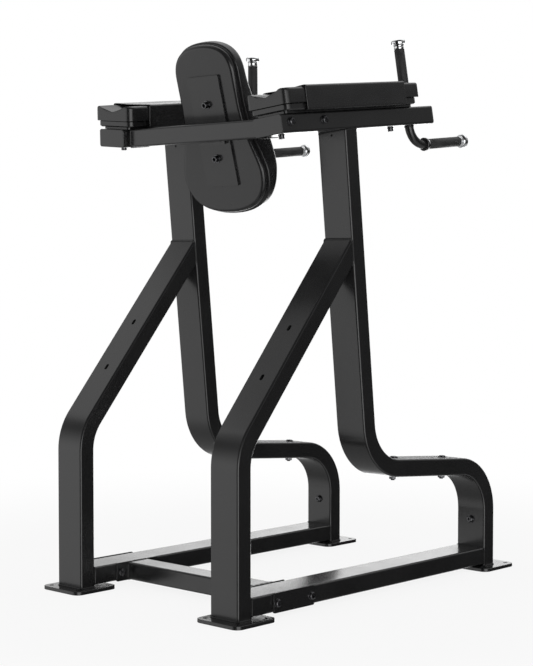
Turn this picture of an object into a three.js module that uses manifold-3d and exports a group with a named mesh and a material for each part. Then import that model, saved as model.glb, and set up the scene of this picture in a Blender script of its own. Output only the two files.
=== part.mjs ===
// Vertical knee raise station: a bolted frame of rectangular steel tube with two
// foot steps, a reclined backrest, padded elbow rests and two pairs of handles.
// Millimetres, +Z up. The floor is z = 0 and the user faces -Y, so left is +X.
import * as THREE from "three";
import { mergeVertices } from "three/addons/utils/BufferGeometryUtils.js";
import Module from "manifold-3d";

const wasm = await Module();
wasm.setup();

const deg = THREE.MathUtils.degToRad;
const sides = [
  { name: "left", sign: 1 },
  { name: "right", sign: -1 },
];

// Clearances
const seatGap = 0.3; // between pieces that touch
const boltClearance = 0.5; // round a shank in its hole, on the radius
const softGap = 0.4; // between a cushion and the sleeve over it
const cutOverrun = 4; // how far a cutter runs past the face that it cuts
const halfSpaceSize = 900; // block that cuts a whole end away

// Main tube: the wide faces look forward and back, or up and down
const tube = { width: 100, depth: 50, wall: 3, corner: 6 };
const tubeBend = 140; // radius of every bend, on the centreline
const bendSteps = 8; // in a bend of about a right angle
const cornerSteps = 1; // two facets round a corner

// Side frames, in their own plane
const sideSpacing = 608; // centre to centre, across the station
const frontLegY = -510;
const rearLegY = 540;
const uprightLean = deg(5.8); // the upright's line meets the floor at y = 0
const stepFrontHeight = 308; // step centreline above the floor, over the front leg
const stepSlope = deg(4.5);
const braceAngle = deg(39.8); // from the vertical
const braceBendHeight = 443.5;

// Foot plates
const foot = {
  thickness: 10,
  outboard: 32,
  inboard: 24,
  rearward: 35,
  forward: 65,
  corner: 22,
  holeRadius: 6.5,
  holeInset: 21,
};

// Base rails, crossbar and the bolted joint between them
const railFloorGap = 16;
const baseCross = { depth: 75, height: 50, wall: 3, corner: 6 };
const joint = { y: 360, length: 156, height: 53, thickness: 5, corner: 5, boltInset: 12.5 };
const jointBoltSpacing = joint.length - 2 * joint.boltInset;
const ventRadius = 4;

// Arms: their frame sits on the upright, tilted with it and rolled inwards
const armHeight = 1302; // along the upright, from the floor to the arm's centreline
const armRoll = deg(5.1);
const armFrontReach = 356;
const armTail = 21; // behind the top crossbar
const armCap = { thickness: 5, plugDepth: 18, plugWall: 3, plugCorner: 1 };

// Top crossbar between the arms, with its end plates
const topCross = { depth: 75, height: 50, wall: 3, corner: 6, rearReach: 252, drop: 4.5 };
const topPlate = { length: 160, height: 44, thickness: 5, corner: 5, boltInset: 15.5, boltRise: 4 };
const armRearReach = topCross.rearReach + armTail;
const armBoltRear = topCross.rearReach - topPlate.boltInset;
const armBoltFront = topCross.rearReach - topPlate.length + topPlate.boltInset;
const armBoltPlaces = [
  ["rear", armBoltRear],
  ["front", armBoltFront],
];

// Holes in the tubes
const braceHole = { radius: 5.5, first: 210, spacing: 162, length: 8 };
const uprightVent = { radius: 3.2, drop: 10 };
const stepBolt = { first: 169.5, spacing: 226 };
const frontLegBoltHeight = 147;

// Backrest
const backrestLean = deg(15.4);
// Heights on the backrest are measured from the crossbar's upper front edge.
const mountPlate = { width: 120, height: 306, thickness: 6, corner: 3, drop: 23.5 };
const mountBracket = { width: 96, drop: 58 };
const backrestBoltSpacing = 150;
const backrest = {
  top: 220,
  bottom: 261,
  topHalfWidth: 119,
  bottomHalfWidth: 161,
  topRound: 91, // height of the rounded top
  bottomRound: 115,
  fullnessShare: 0.66,
  waistHeight: 49,
  waistPull: 93,
  flarePull: 37,
};
const board = { thickness: 15, rearRound: 10, bevel: 2, inset: 5 };
const backCushion = { sides: 38, crown: 7, drawIn: 9, edge: 17 };
const lumbar = { rise: 32, height: -42, reach: 109 }; // the cushion is thicker at the small of the back

// Elbow pads, set in from the ends of their arm
const pad = {
  rearInset: 4,
  frontInset: 76,
  halfWidth: 74,
  corner: 14,
  cushionHeight: 41,
  grooveDepth: 16,
  grooveHalfWidth: 61,
  edge: 7,
  drawIn: 2.4,
  crown: 1.6,
};
const padRear = armRearReach - pad.rearInset;
const padFront = armFrontReach - pad.frontInset;
const padBoard = { inset: 5.5, height: 17, chamfer: 8, baseHeight: 6, baseSideInset: 16, baseEndInset: 8.5 };
const padBoltInset = { rear: 43, front: 56 };
const padBoltPlaces = [
  ["rear", padRear - padBoltInset.rear],
  ["front", padBoltInset.front - padFront],
];
const sleeve = { rearInset: 74, frontInset: 65, thickness: 2.6, lip: 16, corner: 6, rise: 2.8 };

// Handles: one bent round bar per side, through the arm
const bar = { radius: 12.5, inset: 47, bend: 54, lead: 17, steps: 10 };
const barY = bar.inset - armFrontReach;
const grip = { radius: 14.5, length: 148.5, topEnd: 193 };
const dipGripStart = bar.bend + bar.lead - barY;
const stopFlange = { radius: 19, thickness: 7, setback: 16 };
const ring = { radius: 15.5, length: 8 };
const cap = { neckRadius: 14, neckLength: 8, rimRadius: 20.5, length: 27 };
const roundSteps = 16;

// Fasteners
const bolt = { radius: 6, nutWidth: 19, nutHeight: 10, tail: 3 };
const washer = { radius: 12, thickness: 2 };
const buttonHead = { radius: 10.5, height: 6.5, dome: 3, socketWidth: 8, socketDepth: 3.5 };
const lowHead = { radius: 10, height: 3, dome: 1.2, socketWidth: 7, socketDepth: 1.5 };
const socketHead = { radius: 9, height: 11, dome: 1, socketWidth: 10, socketDepth: 6 };
const padHead = { radius: 7.5, height: 8.5, dome: 0.8, socketWidth: 7, socketDepth: 4.5 };
const padShank = 4;
const padWasher = { radius: 9.5, thickness: 2 };
const insertDepth = 12; // shank length inside a pad board
const shankSteps = 8;
const headSteps = 10;
const holeSteps = 12;
const plateSteps = 2;
const weldShare = 1e-5; // of a tube's corner: points closer than this are one point

// Colours and finishes
const powderCoat = { color: 0x2b2b2d, roughness: 0.5, metalness: 0.3 };
const vinyl = { color: 0x1d1d1e, roughness: 0.55, metalness: 0 };
const plastic = { color: 0x1a1a1b, roughness: 0.6, metalness: 0 };
const rubber = { color: 0x262626, roughness: 0.8, metalness: 0 };
const chrome = { color: 0xd8d8da, roughness: 0.08, metalness: 1 };
const blackSteel = { color: 0x1c1c1e, roughness: 0.4, metalness: 0.8 };

const station = new THREE.Group();

// Solids

// Shares each corner between its faces. It is done where a piece is made, before it is moved.
function weld(geometry) {
  const bare = geometry.clone();
  bare.deleteAttribute("normal");
  bare.deleteAttribute("uv");
  return mergeVertices(bare, weldShare * tube.corner);
}

function toSolid(geometry) {
  const welded = geometry.index ? geometry : weld(geometry);
  const mesh = new wasm.Mesh({
    numProp: 3,
    vertProperties: welded.attributes.position.array,
    triVerts: new Uint32Array(welded.index.array),
  });
  return new wasm.Manifold(mesh);
}

function toGeometry(solid) {
  const mesh = solid.getMesh();
  const geometry = new THREE.BufferGeometry();
  geometry.setAttribute("position", new THREE.BufferAttribute(mesh.vertProperties, mesh.numProp));
  geometry.setIndex(new THREE.BufferAttribute(mesh.triVerts, 1));
  return geometry;
}

function cut(geometry, ...cutters) {
  const left = cutters.reduce((solid, cutter) => solid.subtract(toSolid(cutter)), toSolid(geometry));
  return toGeometry(left);
}

function join(geometry, ...others) {
  const whole = others.reduce((solid, other) => solid.add(toSolid(other)), toSolid(geometry));
  return toGeometry(whole);
}

// A block that fills the side z > 0 of the frame that the matrix gives.
function halfSpace(matrix) {
  const block = new THREE.BoxGeometry(halfSpaceSize, halfSpaceSize, halfSpaceSize);
  block.translate(0, 0, halfSpaceSize / 2);
  return weld(block).applyMatrix4(matrix);
}

function place(name, geometry, finish, parent) {
  const flat = geometry.toNonIndexed();
  flat.computeVertexNormals();
  const mesh = new THREE.Mesh(flat, new THREE.MeshStandardMaterial(finish));
  mesh.name = name;
  parent.add(mesh);
  return mesh;
}

function turned(x, y, z) {
  return new THREE.Matrix4().makeRotationFromEuler(new THREE.Euler(x, y, z));
}

function moved(x, y, z) {
  return new THREE.Matrix4().makeTranslation(x, y, z);
}

// A round rod along an axis ("x", "y" or "z") between two coordinates, at the point of the other two.
function rod(axis, radius, from, to, point, steps = shankSteps) {
  const geometry = weld(new THREE.CylinderGeometry(radius, radius, to - from, steps));
  geometry.translate(0, (from + to) / 2, 0);
  if (axis === "x") geometry.rotateZ(-Math.PI / 2);
  if (axis === "z") geometry.rotateX(Math.PI / 2);
  return geometry.translate(point.x, point.y, point.z);
}

// Outlines

function roundedRectangle(width, height, corner) {
  const x = width / 2 - corner;
  const y = height / 2 - corner;
  const shape = new THREE.Shape();
  shape.absarc(x, -y, corner, -Math.PI / 2, 0);
  shape.absarc(x, y, corner, 0, Math.PI / 2);
  shape.absarc(-x, y, corner, Math.PI / 2, Math.PI);
  shape.absarc(-x, -y, corner, Math.PI, 1.5 * Math.PI);
  shape.closePath();
  return shape;
}

// Draws a regular polygon round a point as a closed path.
function polygon(path, radius, count, x = 0, y = 0) {
  for (let k = 0; k < count; k += 1) {
    const angle = (2 * Math.PI * k) / count;
    const action = k === 0 ? "moveTo" : "lineTo";
    path[action](x + radius * Math.cos(angle), y + radius * Math.sin(angle));
  }
  path.closePath();
  return path;
}

// The section of a rectangular tube: width along x, height along y.
function tubeSection(width, height, corner, wall) {
  const shape = roundedRectangle(width, height, corner);
  const x = width / 2 - wall;
  const y = height / 2 - wall;
  const bore = new THREE.Path();
  bore.moveTo(-x, -y);
  bore.lineTo(-x, y);
  bore.lineTo(x, y);
  bore.lineTo(x, -y);
  bore.closePath();
  shape.holes.push(bore);
  return shape;
}

const mainSection = tubeSection(tube.width, tube.depth, tube.corner, tube.wall);
const bentSection = tubeSection(tube.depth, tube.width, tube.corner, tube.wall); // along a bent path

// A straight extrusion of a section along +Z, from zero to the length.
function straight(section, length, steps = cornerSteps) {
  const options = { depth: length, bevelEnabled: false, curveSegments: steps };
  return weld(new THREE.ExtrudeGeometry(section, options));
}

// A flat plate with its thickness along +Z, centred on its middle, with round holes at the given points.
function plate(width, height, thickness, corner, holeRadius = 0, holes = []) {
  const shape = roundedRectangle(width, height, corner);
  for (const [x, y] of holes) {
    shape.holes.push(polygon(new THREE.Path(), holeRadius, holeSteps, x, y));
  }
  return straight(shape, thickness, plateSteps);
}

// The points of an outline at a height, each once and counter-clockwise.
function ringOf(shape, steps, z) {
  const points = shape.getPoints(steps);
  const ring = points.filter((p, i) => i === 0 || p.distanceTo(points[i - 1]) > seatGap);
  if (ring[0].distanceTo(ring[ring.length - 1]) < seatGap) ring.pop();
  return ring.map((p) => [p.x, p.y, z]);
}

// A closed skin over a pile of counter-clockwise rings with the same number of points, the lowest first.
function skin(rings) {
  const count = rings[0].length;
  const index = [];
  for (let s = 0; s < rings.length - 1; s += 1) {
    for (let k = 0; k < count; k += 1) {
      const a = s * count + k;
      const b = s * count + ((k + 1) % count);
      index.push(a, b, b + count, a, b + count, a + count);
    }
  }
  const topStart = (rings.length - 1) * count;
  const flat = (ring) =>
    THREE.ShapeUtils.triangulateShape(
      ring.map((p) => new THREE.Vector2(p[0], p[1])),
      [],
    );
  for (const [a, b, c] of flat(rings[0])) index.push(a, c, b);
  for (const triangle of flat(rings[rings.length - 1])) {
    index.push(...triangle.map((corner) => topStart + corner));
  }
  const geometry = new THREE.BufferGeometry();
  geometry.setAttribute("position", new THREE.Float32BufferAttribute(rings.flat(2), 3));
  geometry.setIndex(index);
  return geometry;
}

// A path of straight runs in the plane x = 0 with a round bend at each inner corner.
// Its stations stand at the ends of the runs and evenly round the bends.
class BentPath extends THREE.Curve {
  constructor(corners, radius, steps) {
    super();
    this.stations = [];
    const points = corners.map(([y, z]) => new THREE.Vector3(0, y, z));
    const add = (point, direction) => {
      this.stations.push({ point, direction: direction.clone().normalize() });
    };
    add(points[0], points[1].clone().sub(points[0]));
    for (let i = 1; i < points.length - 1; i += 1) {
      const arriving = points[i].clone().sub(points[i - 1]).normalize();
      const leaving = points[i + 1].clone().sub(points[i]).normalize();
      const angle = arriving.angleTo(leaving);
      const count = Math.max(2, Math.ceil((steps * angle) / (Math.PI / 2)));
      const axis = arriving.clone().cross(leaving).normalize();
      const start = points[i].clone().addScaledVector(arriving, -radius * Math.tan(angle / 2));
      const centre = start.clone().addScaledVector(axis.clone().cross(arriving), radius);
      for (let k = 0; k <= count; k += 1) {
        const turn = (angle * k) / count;
        const point = start.clone().sub(centre).applyAxisAngle(axis, turn).add(centre);
        add(point, arriving.clone().applyAxisAngle(axis, turn));
      }
    }
    const last = points.length - 1;
    add(points[last], points[last].clone().sub(points[last - 1]));
  }

  get steps() {
    return this.stations.length - 1;
  }

  getPointAt(share, target = new THREE.Vector3()) {
    return target.copy(this.stations[Math.round(share * this.steps)].point);
  }

  getTangentAt(share, target = new THREE.Vector3()) {
    return target.copy(this.stations[Math.round(share * this.steps)].direction);
  }
}

function bentTube(section, path, steps = cornerSteps) {
  const options = { extrudePath: path, steps: path.steps, curveSegments: steps };
  return weld(new THREE.ExtrudeGeometry(section, options));
}

// Frames

const halfSpacing = sideSpacing / 2;
const leanTan = Math.tan(uprightLean);
const braceTan = Math.tan(braceAngle);
const stepTan = Math.tan(stepSlope);
const legBottom = foot.thickness + seatGap;
const railHeight = railFloorGap + tube.depth / 2;
const armY = armHeight * Math.sin(uprightLean);
const armZ = armHeight * Math.cos(uprightLean);

const uprightFrame = turned(-uprightLean, 0, 0);

// The arm's frame inside a side frame: x across, y rearwards along the arm, z up.
function armFrame(sign) {
  return moved(0, armY, armZ).multiply(turned(-uprightLean, -sign * armRoll, 0));
}

function frameGroup(matrix, parent) {
  const group = new THREE.Group();
  group.applyMatrix4(matrix);
  parent.add(group);
  return group;
}

// Fasteners: the head sits on z = 0 with its top at +Z, and the shank runs down to -length.

function hexagon(width) {
  return polygon(new THREE.Shape(), width / Math.sqrt(3), 6);
}

function headedShank(head, length, shank = bolt.radius, disc = washer) {
  const top = disc.thickness + head.height;
  const profile = [
    [0, -length],
    [shank, -length],
    [shank, 0],
    [disc.radius, 0],
    [disc.radius, disc.thickness],
    [head.radius, disc.thickness],
    [head.radius, top - head.dome],
    [head.radius - head.dome, top],
    [0, top],
  ].map(([x, y]) => new THREE.Vector2(x, y));
  const turnedShape = weld(new THREE.LatheGeometry(profile, headSteps));
  turnedShape.rotateX(Math.PI / 2);
  const socket = straight(hexagon(head.socketWidth), head.socketDepth + cutOverrun);
  socket.translate(0, 0, top - head.socketDepth);
  return cut(turnedShape, socket);
}

// A nut whose bearing face is at z = -grip, with the shank's tail below it.
function nutAt(grip) {
  const nut = straight(hexagon(bolt.nutWidth), bolt.nutHeight);
  return nut.translate(0, 0, -grip - bolt.nutHeight);
}

function throughBolt(head, grip) {
  const shank = headedShank(head, grip + bolt.nutHeight + bolt.tail);
  return join(shank, nutAt(grip));
}

// Side frames

function buildSideFrame({ name, sign }) {
  const side = frameGroup(moved(sign * halfSpacing, 0, 0), station);
  const arm = armFrame(sign);

  // Front post: front leg, foot step and upright in one bent tube
  const stepMeetZ = (stepFrontHeight - stepTan * frontLegY) / (1 - stepTan * leanTan);
  const uprightEnd = armHeight + tube.depth;
  const postCorners = [
    [frontLegY, legBottom],
    [frontLegY, stepFrontHeight],
    [stepMeetZ * leanTan, stepMeetZ],
    [uprightEnd * Math.sin(uprightLean), uprightEnd * Math.cos(uprightLean)],
  ];
  const armUnderside = arm.clone().multiply(moved(0, 0, -tube.depth / 2 - seatGap));
  const stepFrame = moved(0, frontLegY, stepFrontHeight).multiply(turned(stepSlope, 0, 0));
  const stepBoltPlaces = [stepBolt.first, stepBolt.first + stepBolt.spacing];
  const holeRadius = bolt.radius + boltClearance;
  const halfHole = tube.depth / 2 + cutOverrun;
  const stepHoles = stepBoltPlaces.map((y) =>
    rod("z", holeRadius, -halfHole, halfHole, { x: 0, y, z: 0 }).applyMatrix4(stepFrame),
  );
  const legRearFace = frontLegY + tube.depth / 2;
  const legBoltPlace = { x: 0, y: 0, z: frontLegBoltHeight };
  const legBoltHole = rod("y", holeRadius, legRearFace - cutOverrun, legRearFace + cutOverrun, legBoltPlace);
  const ventPlace = { x: 0, y: 0, z: armHeight - tube.depth / 2 - uprightVent.drop };
  const rearFace = tube.depth / 2;
  const vent = rod("y", uprightVent.radius, rearFace - cutOverrun, rearFace + cutOverrun, ventPlace);
  vent.applyMatrix4(uprightFrame);
  const postTube = bentTube(bentSection, new BentPath(postCorners, tubeBend, bendSteps));
  const post = cut(postTube, halfSpace(armUnderside), ...stepHoles, legBoltHole, vent);
  place("front_post_" + name, post, powderCoat, side);

  stepBoltPlaces.forEach((y, i) => {
    const fastener = throughBolt(lowHead, tube.depth + 2 * seatGap);
    fastener.translate(0, y, tube.depth / 2 + seatGap).applyMatrix4(stepFrame);
    place("step_bolt_" + name + "_" + (i + 1), fastener, blackSteel, side);
  });
  const legGrip = tube.wall + 2 * seatGap;
  const legBolt = throughBolt(buttonHead, legGrip).rotateX(-Math.PI / 2);
  legBolt.translate(0, legRearFace + seatGap, frontLegBoltHeight);
  place("front_leg_bolt_" + name, legBolt, blackSteel, side);

  // Rear leg: brace and leg in one bent tube, with the stub that takes the base rail
  const braceMeetZ = (rearLegY + braceTan * braceBendHeight) / (leanTan + braceTan);
  const legCorners = [
    [rearLegY, legBottom],
    [rearLegY, braceBendHeight],
    [braceMeetZ * leanTan, braceMeetZ],
  ];
  const legTube = bentTube(bentSection, new BentPath(legCorners, tubeBend, bendSteps));
  const uprightRear = uprightFrame.clone().multiply(moved(0, tube.depth / 2 + seatGap, braceMeetZ));
  const inFront = halfSpace(uprightRear.multiply(turned(Math.PI / 2, 0, 0)));
  const legFrontFace = rearLegY - tube.depth / 2;
  const stubEnd = joint.y + seatGap / 2;
  const stub = straight(mainSection, legFrontFace + tube.wall / 2 - stubEnd).rotateX(-Math.PI / 2);
  stub.translate(0, stubEnd, railHeight);
  const braceFrame = moved(0, rearLegY, braceBendHeight).multiply(turned(braceAngle, 0, 0));
  const holeFrom = tube.depth / 2 - tube.wall - cutOverrun;
  const holeTo = tube.depth / 2 + cutOverrun;
  const braceSlots = [0, 1].map((k) => {
    const slotShape = roundedRectangle(
      2 * braceHole.radius,
      2 * braceHole.radius + braceHole.length,
      braceHole.radius,
    );
    const slot = straight(slotShape, holeTo - holeFrom).rotateX(-Math.PI / 2).translate(0, holeFrom, 0);
    return slot.translate(0, 0, braceHole.first + k * braceHole.spacing).applyMatrix4(braceFrame);
  });
  const halfTube = tube.width / 2;
  const jointHoles = [-1, 1].map((way) =>
    rod("x", holeRadius, -halfTube - cutOverrun, halfTube + cutOverrun, {
      x: 0,
      y: joint.y + (way * jointBoltSpacing) / 2,
      z: railHeight,
    }),
  );
  const leg = cut(join(legTube, stub), inFront, ...braceSlots, jointHoles[1]);
  place("rear_leg_" + name, leg, powderCoat, side);

  // Base rail from the front leg to the stub
  const railFrom = legRearFace + seatGap;
  const railTo = joint.y - seatGap / 2;
  const railTube = straight(mainSection, railTo - railFrom).rotateX(-Math.PI / 2);
  railTube.translate(0, railFrom, railHeight);
  place("base_rail_" + name, cut(railTube, jointHoles[0]), powderCoat, side);

  // Outer splice plate and the bolts that clamp it, the tubes and the crossbar's end plate
  const holes = [-1, 1].map((way) => [(way * jointBoltSpacing) / 2, 0]);
  const splice = plate(joint.length, joint.height, joint.thickness, joint.corner, holeRadius, holes);
  splice.rotateX(Math.PI / 2).rotateZ((sign * Math.PI) / 2);
  splice.translate(sign * (halfTube + seatGap), joint.y, railHeight);
  place("splice_plate_" + name, splice, powderCoat, side);
  const jointGrip = tube.width + 2 * joint.thickness + 4 * seatGap;
  [-1, 1].forEach((way) => {
    const fastener = throughBolt(buttonHead, jointGrip).rotateY((sign * Math.PI) / 2);
    fastener.translate(
      sign * (halfTube + joint.thickness + 2 * seatGap),
      joint.y + (way * jointBoltSpacing) / 2,
      railHeight,
    );
    place("base_bolt_" + name + "_" + (way > 0 ? "rear" : "front"), fastener, blackSteel, side);
  });

  // Foot plates
  const footWidth = tube.width + foot.outboard + foot.inboard;
  const footLength = tube.depth + foot.rearward + foot.forward;
  const footHoles = [-1, 1].flatMap((x) =>
    [-1, 1].map((y) => [x * (footWidth / 2 - foot.holeInset), y * (footLength / 2 - foot.holeInset)]),
  );
  for (const [where, y] of [
    ["front", frontLegY],
    ["rear", rearLegY],
  ]) {
    const footPlate = plate(footWidth, footLength, foot.thickness, foot.corner, foot.holeRadius, footHoles);
    const shift = { x: (foot.outboard - foot.inboard) / 2, y: (foot.rearward - foot.forward) / 2 };
    footPlate.translate(sign * shift.x, y + shift.y, 0);
    place("foot_plate_" + where + "_" + name, footPlate, powderCoat, side);
  }

  buildArm(name, sign, frameGroup(arm, side));
}

// Arms with their pads and handles, in the arm's frame

function buildArm(name, sign, group) {
  const halfTube = tube.width / 2;
  const halfDepth = tube.depth / 2;
  const holeRadius = bolt.radius + boltClearance;
  const through = halfDepth + cutOverrun;

  // Arm tube, closed by its own wall at the rear
  const armTube = straight(mainSection, armRearReach + armFrontReach).rotateX(-Math.PI / 2);
  armTube.translate(0, -armFrontReach, 0);
  const rearWall = straight(roundedRectangle(tube.width, tube.depth, tube.corner), tube.wall);
  rearWall.rotateX(-Math.PI / 2).translate(0, armRearReach - tube.wall, 0);
  const barPlace = { x: 0, y: barY, z: 0 };
  const barHole = rod("z", bar.radius + boltClearance, -through, through, barPlace, roundSteps);
  const padHoles = padBoltPlaces.map(([, y]) =>
    rod("z", padShank + boltClearance, -through, through, { x: 0, y, z: 0 }),
  );
  const sideHoles = armBoltPlaces.map(([, y]) =>
    rod("x", holeRadius, -halfTube - cutOverrun, halfTube + cutOverrun, { x: 0, y, z: topPlate.boltRise }),
  );
  place("arm_" + name, cut(join(armTube, rearWall), barHole, ...padHoles, ...sideHoles), powderCoat, group);

  // Front end cap: a cover with a hollow plug inside the tube
  const coverShape = roundedRectangle(tube.width, tube.depth, tube.corner);
  const cover = straight(coverShape, armCap.thickness);
  const plugWidth = tube.width - 2 * tube.wall - 2 * seatGap;
  const plugHeight = tube.depth - 2 * tube.wall - 2 * seatGap;
  const plugSection = tubeSection(plugWidth, plugHeight, armCap.plugCorner, armCap.plugWall);
  const plug = straight(plugSection, armCap.plugDepth);
  plug.translate(0, 0, armCap.thickness - seatGap);
  const endCap = join(cover, plug).rotateX(-Math.PI / 2);
  endCap.translate(0, -armFrontReach - armCap.thickness - seatGap, 0);
  place("arm_cap_" + name, endCap, plastic, group);

  // Bolts through the arm into the crossbar's end plate
  const plateGrip = tube.width + topPlate.thickness + 3 * seatGap;
  for (const [where, y] of armBoltPlaces) {
    const fastener = throughBolt(buttonHead, plateGrip).rotateY((sign * Math.PI) / 2);
    fastener.translate(sign * (halfTube + seatGap), y, topPlate.boltRise);
    place("arm_bolt_" + name + "_" + where, fastener, blackSteel, group);
  }

  buildPad(name, group);
  buildHandle(name, group);
}

// Elbow pads

// The top of the cushion's section: the height at a place across, as a share of the full width.
function grooveTop(x, roundOff) {
  const groove = pad.grooveDepth * Math.max(0, 1 - Math.abs(x) / pad.grooveHalfWidth);
  return pad.cushionHeight - groove - roundOff;
}

// One section of the cushion at a distance from its end, as points round it from the lower left.
function padSection(fromEnd, share) {
  const turn = Math.min(1, fromEnd / pad.corner);
  const pulledIn = pad.corner * (1 - Math.sqrt(1 - (1 - turn) ** 2));
  const half = pad.halfWidth - pulledIn;
  const edgeTurn = Math.min(1, fromEnd / pad.edge);
  const endRound = pad.edge * (1 - Math.sqrt(1 - (1 - edgeTurn) ** 2)) * padEndRoundShare;
  const swell = pad.crown * Math.sin(Math.PI * share);
  const points = [];
  for (const [heightShare, insetShare] of padSideShares) {
    points.push([-half + insetShare * pad.drawIn, heightShare * (pad.cushionHeight - pad.edge)]);
  }
  for (const edgeShare of padEdgeShares) {
    const angle = (edgeShare * Math.PI) / 2;
    const x = half - pad.edge + pad.edge * Math.cos(angle);
    points.push([-x, pad.cushionHeight - pad.edge + pad.edge * Math.sin(angle) - endRound + swell]);
  }
  for (const acrossShare of padTopShares) {
    const x = acrossShare * pad.grooveHalfWidth;
    if (Math.abs(x) < half - pad.edge) points.push([x, grooveTop(x, endRound) + swell]);
    else points.push([Math.sign(x) * (half - pad.edge), pad.cushionHeight - endRound + swell]);
  }
  return points;
}

// Shares of the side's height with the share of the draw-in there, from the seam up.
const padSideShares = [
  [0, 1],
  [0.16, 0.35],
  [0.45, 0],
  [0.8, 0.15],
];
const padEdgeShares = [0.15, 0.45, 0.75];
const padTopShares = [-1, -0.9, -0.55, -0.2, -0.06, 0.06, 0.2, 0.55, 0.9, 1];
const padStationShares = [0.02, 0.12, 0.3, 0.6, 1];
const padEndRoundShare = 0.8;
const padMiddleStations = 6;

function padCushion() {
  const length = padRear + padFront;
  const distances = padStationShares.map((share) => share * pad.corner);
  const middle = length - 2 * pad.corner;
  for (let k = 1; k < padMiddleStations; k += 1) {
    distances.push(pad.corner + (middle * k) / padMiddleStations);
  }
  for (const share of [...padStationShares].reverse()) distances.push(length - share * pad.corner);
  const sections = distances.map((distance) => {
    const half = padSection(Math.min(distance, length - distance), distance / length);
    const leftSide = half.slice(0, padSideShares.length + padEdgeShares.length);
    const rightSide = [...leftSide].reverse().map(([x, z]) => [-x, z]);
    const section = [...leftSide, ...half.slice(leftSide.length), ...rightSide].reverse();
    return section.map(([x, z]) => [x, z, -distance]);
  });
  return skin(sections.reverse()).rotateX(Math.PI / 2).translate(0, -padFront, 0);
}

function buildPad(name, group) {
  const length = padRear + padFront;
  const centreY = (padRear - padFront) / 2;
  const boardBottom = tube.depth / 2 + seatGap;
  const layerBottom = boardBottom + padBoard.baseHeight;
  const cushionBottom = layerBottom + padBoard.height + seatGap;
  const holeRadius = padShank + boltClearance;

  // Board: an inset base under a layer with a chamfered lower edge
  const layerWidth = 2 * (pad.halfWidth - padBoard.inset);
  const layerLength = length - 2 * padBoard.inset;
  const layerCorner = pad.corner - padBoard.inset / 2;
  const upper = plate(layerWidth, layerLength, padBoard.height - padBoard.chamfer, layerCorner);
  upper.translate(0, 0, layerBottom + padBoard.chamfer);
  const ends = [0, 1].map((share) => {
    const inset = padBoard.chamfer * (1 - share);
    const width = layerWidth - 2 * inset;
    const outline = roundedRectangle(width, layerLength - 2 * inset, layerCorner - inset / 2);
    const z = layerBottom + padBoard.chamfer * share;
    return ringOf(outline, cornerSteps, z + share * padBoard.chamfer * chamferLapShare);
  });
  const chamfered = skin(ends);
  const base = plate(
    layerWidth - 2 * padBoard.baseSideInset,
    layerLength - 2 * padBoard.baseEndInset,
    padBoard.baseHeight + padBoard.chamfer / 2,
    layerCorner,
  );
  base.translate(0, 0, boardBottom);
  const boardSolid = join(upper, chamfered, base).translate(0, centreY, 0);
  const holes = padBoltPlaces.map(([, y]) =>
    rod("z", holeRadius, boardBottom - cutOverrun, boardBottom + insertDepth + seatGap, { x: 0, y, z: 0 }),
  );
  place("elbow_pad_board_" + name, cut(boardSolid, ...holes), plastic, group);

  const cushion = padCushion().translate(0, 0, cushionBottom);
  place("elbow_pad_cushion_" + name, cushion, vinyl, group);

  // Sleeve: a wrap over the middle of the pad with a lip under each side
  const innerHalf = pad.halfWidth + softGap;
  const innerTop = cushionBottom + pad.cushionHeight + pad.crown + softGap;
  const outerHalf = innerHalf + sleeve.thickness;
  const outerTop = innerTop + sleeve.thickness;
  const wrapBottom = boardBottom + sleeve.rise;
  const wrapHeight = outerTop - wrapBottom;
  const wrapRear = padRear - sleeve.rearInset;
  const wrapLength = wrapRear + padFront - sleeve.frontInset;
  const cutLength = wrapLength + 2 * cutOverrun;
  const outer = straight(roundedRectangle(2 * outerHalf, wrapHeight, sleeve.corner), wrapLength);
  const hollowHeight = wrapHeight - 2 * sleeve.thickness;
  const hollowCorner = sleeve.corner - sleeve.thickness;
  const hollow = straight(roundedRectangle(2 * innerHalf, hollowHeight, hollowCorner), cutLength);
  const opening = weld(new THREE.BoxGeometry(2 * (outerHalf - sleeve.lip), wrapHeight, cutLength));
  opening.translate(0, -wrapHeight / 2, wrapLength / 2);
  const band = cut(outer, hollow.translate(0, 0, -cutOverrun), opening).rotateX(Math.PI / 2);
  band.translate(0, wrapRear, wrapBottom + wrapHeight / 2);
  place("elbow_pad_sleeve_" + name, band, vinyl, group);

  // Bolts up through the arm into the board
  for (const [where, y] of padBoltPlaces) {
    const length = tube.depth + 2 * seatGap + insertDepth;
    const fastener = headedShank(padHead, length, padShank, padWasher).rotateX(Math.PI);
    fastener.translate(0, y, -tube.depth / 2 - seatGap);
    place("pad_bolt_" + name + "_" + where, fastener, blackSteel, group);
  }
}

const chamferLapShare = 0.1;

// Handles

function lathe(points) {
  const profile = points.map(([x, y]) => new THREE.Vector2(x, y));
  return weld(new THREE.LatheGeometry(profile, roundSteps));
}

// A grip sleeve round the bar, along +Y from zero.
function gripSleeve() {
  const bore = bar.radius + seatGap;
  const edge = grip.radius - bore;
  return lathe([
    [bore, 0],
    [grip.radius - edge / 2, 0],
    [grip.radius, edge / 2],
    [grip.radius, grip.length - edge / 2],
    [grip.radius - edge / 2, grip.length],
    [bore, grip.length],
    [bore, 0],
  ]);
}

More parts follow.
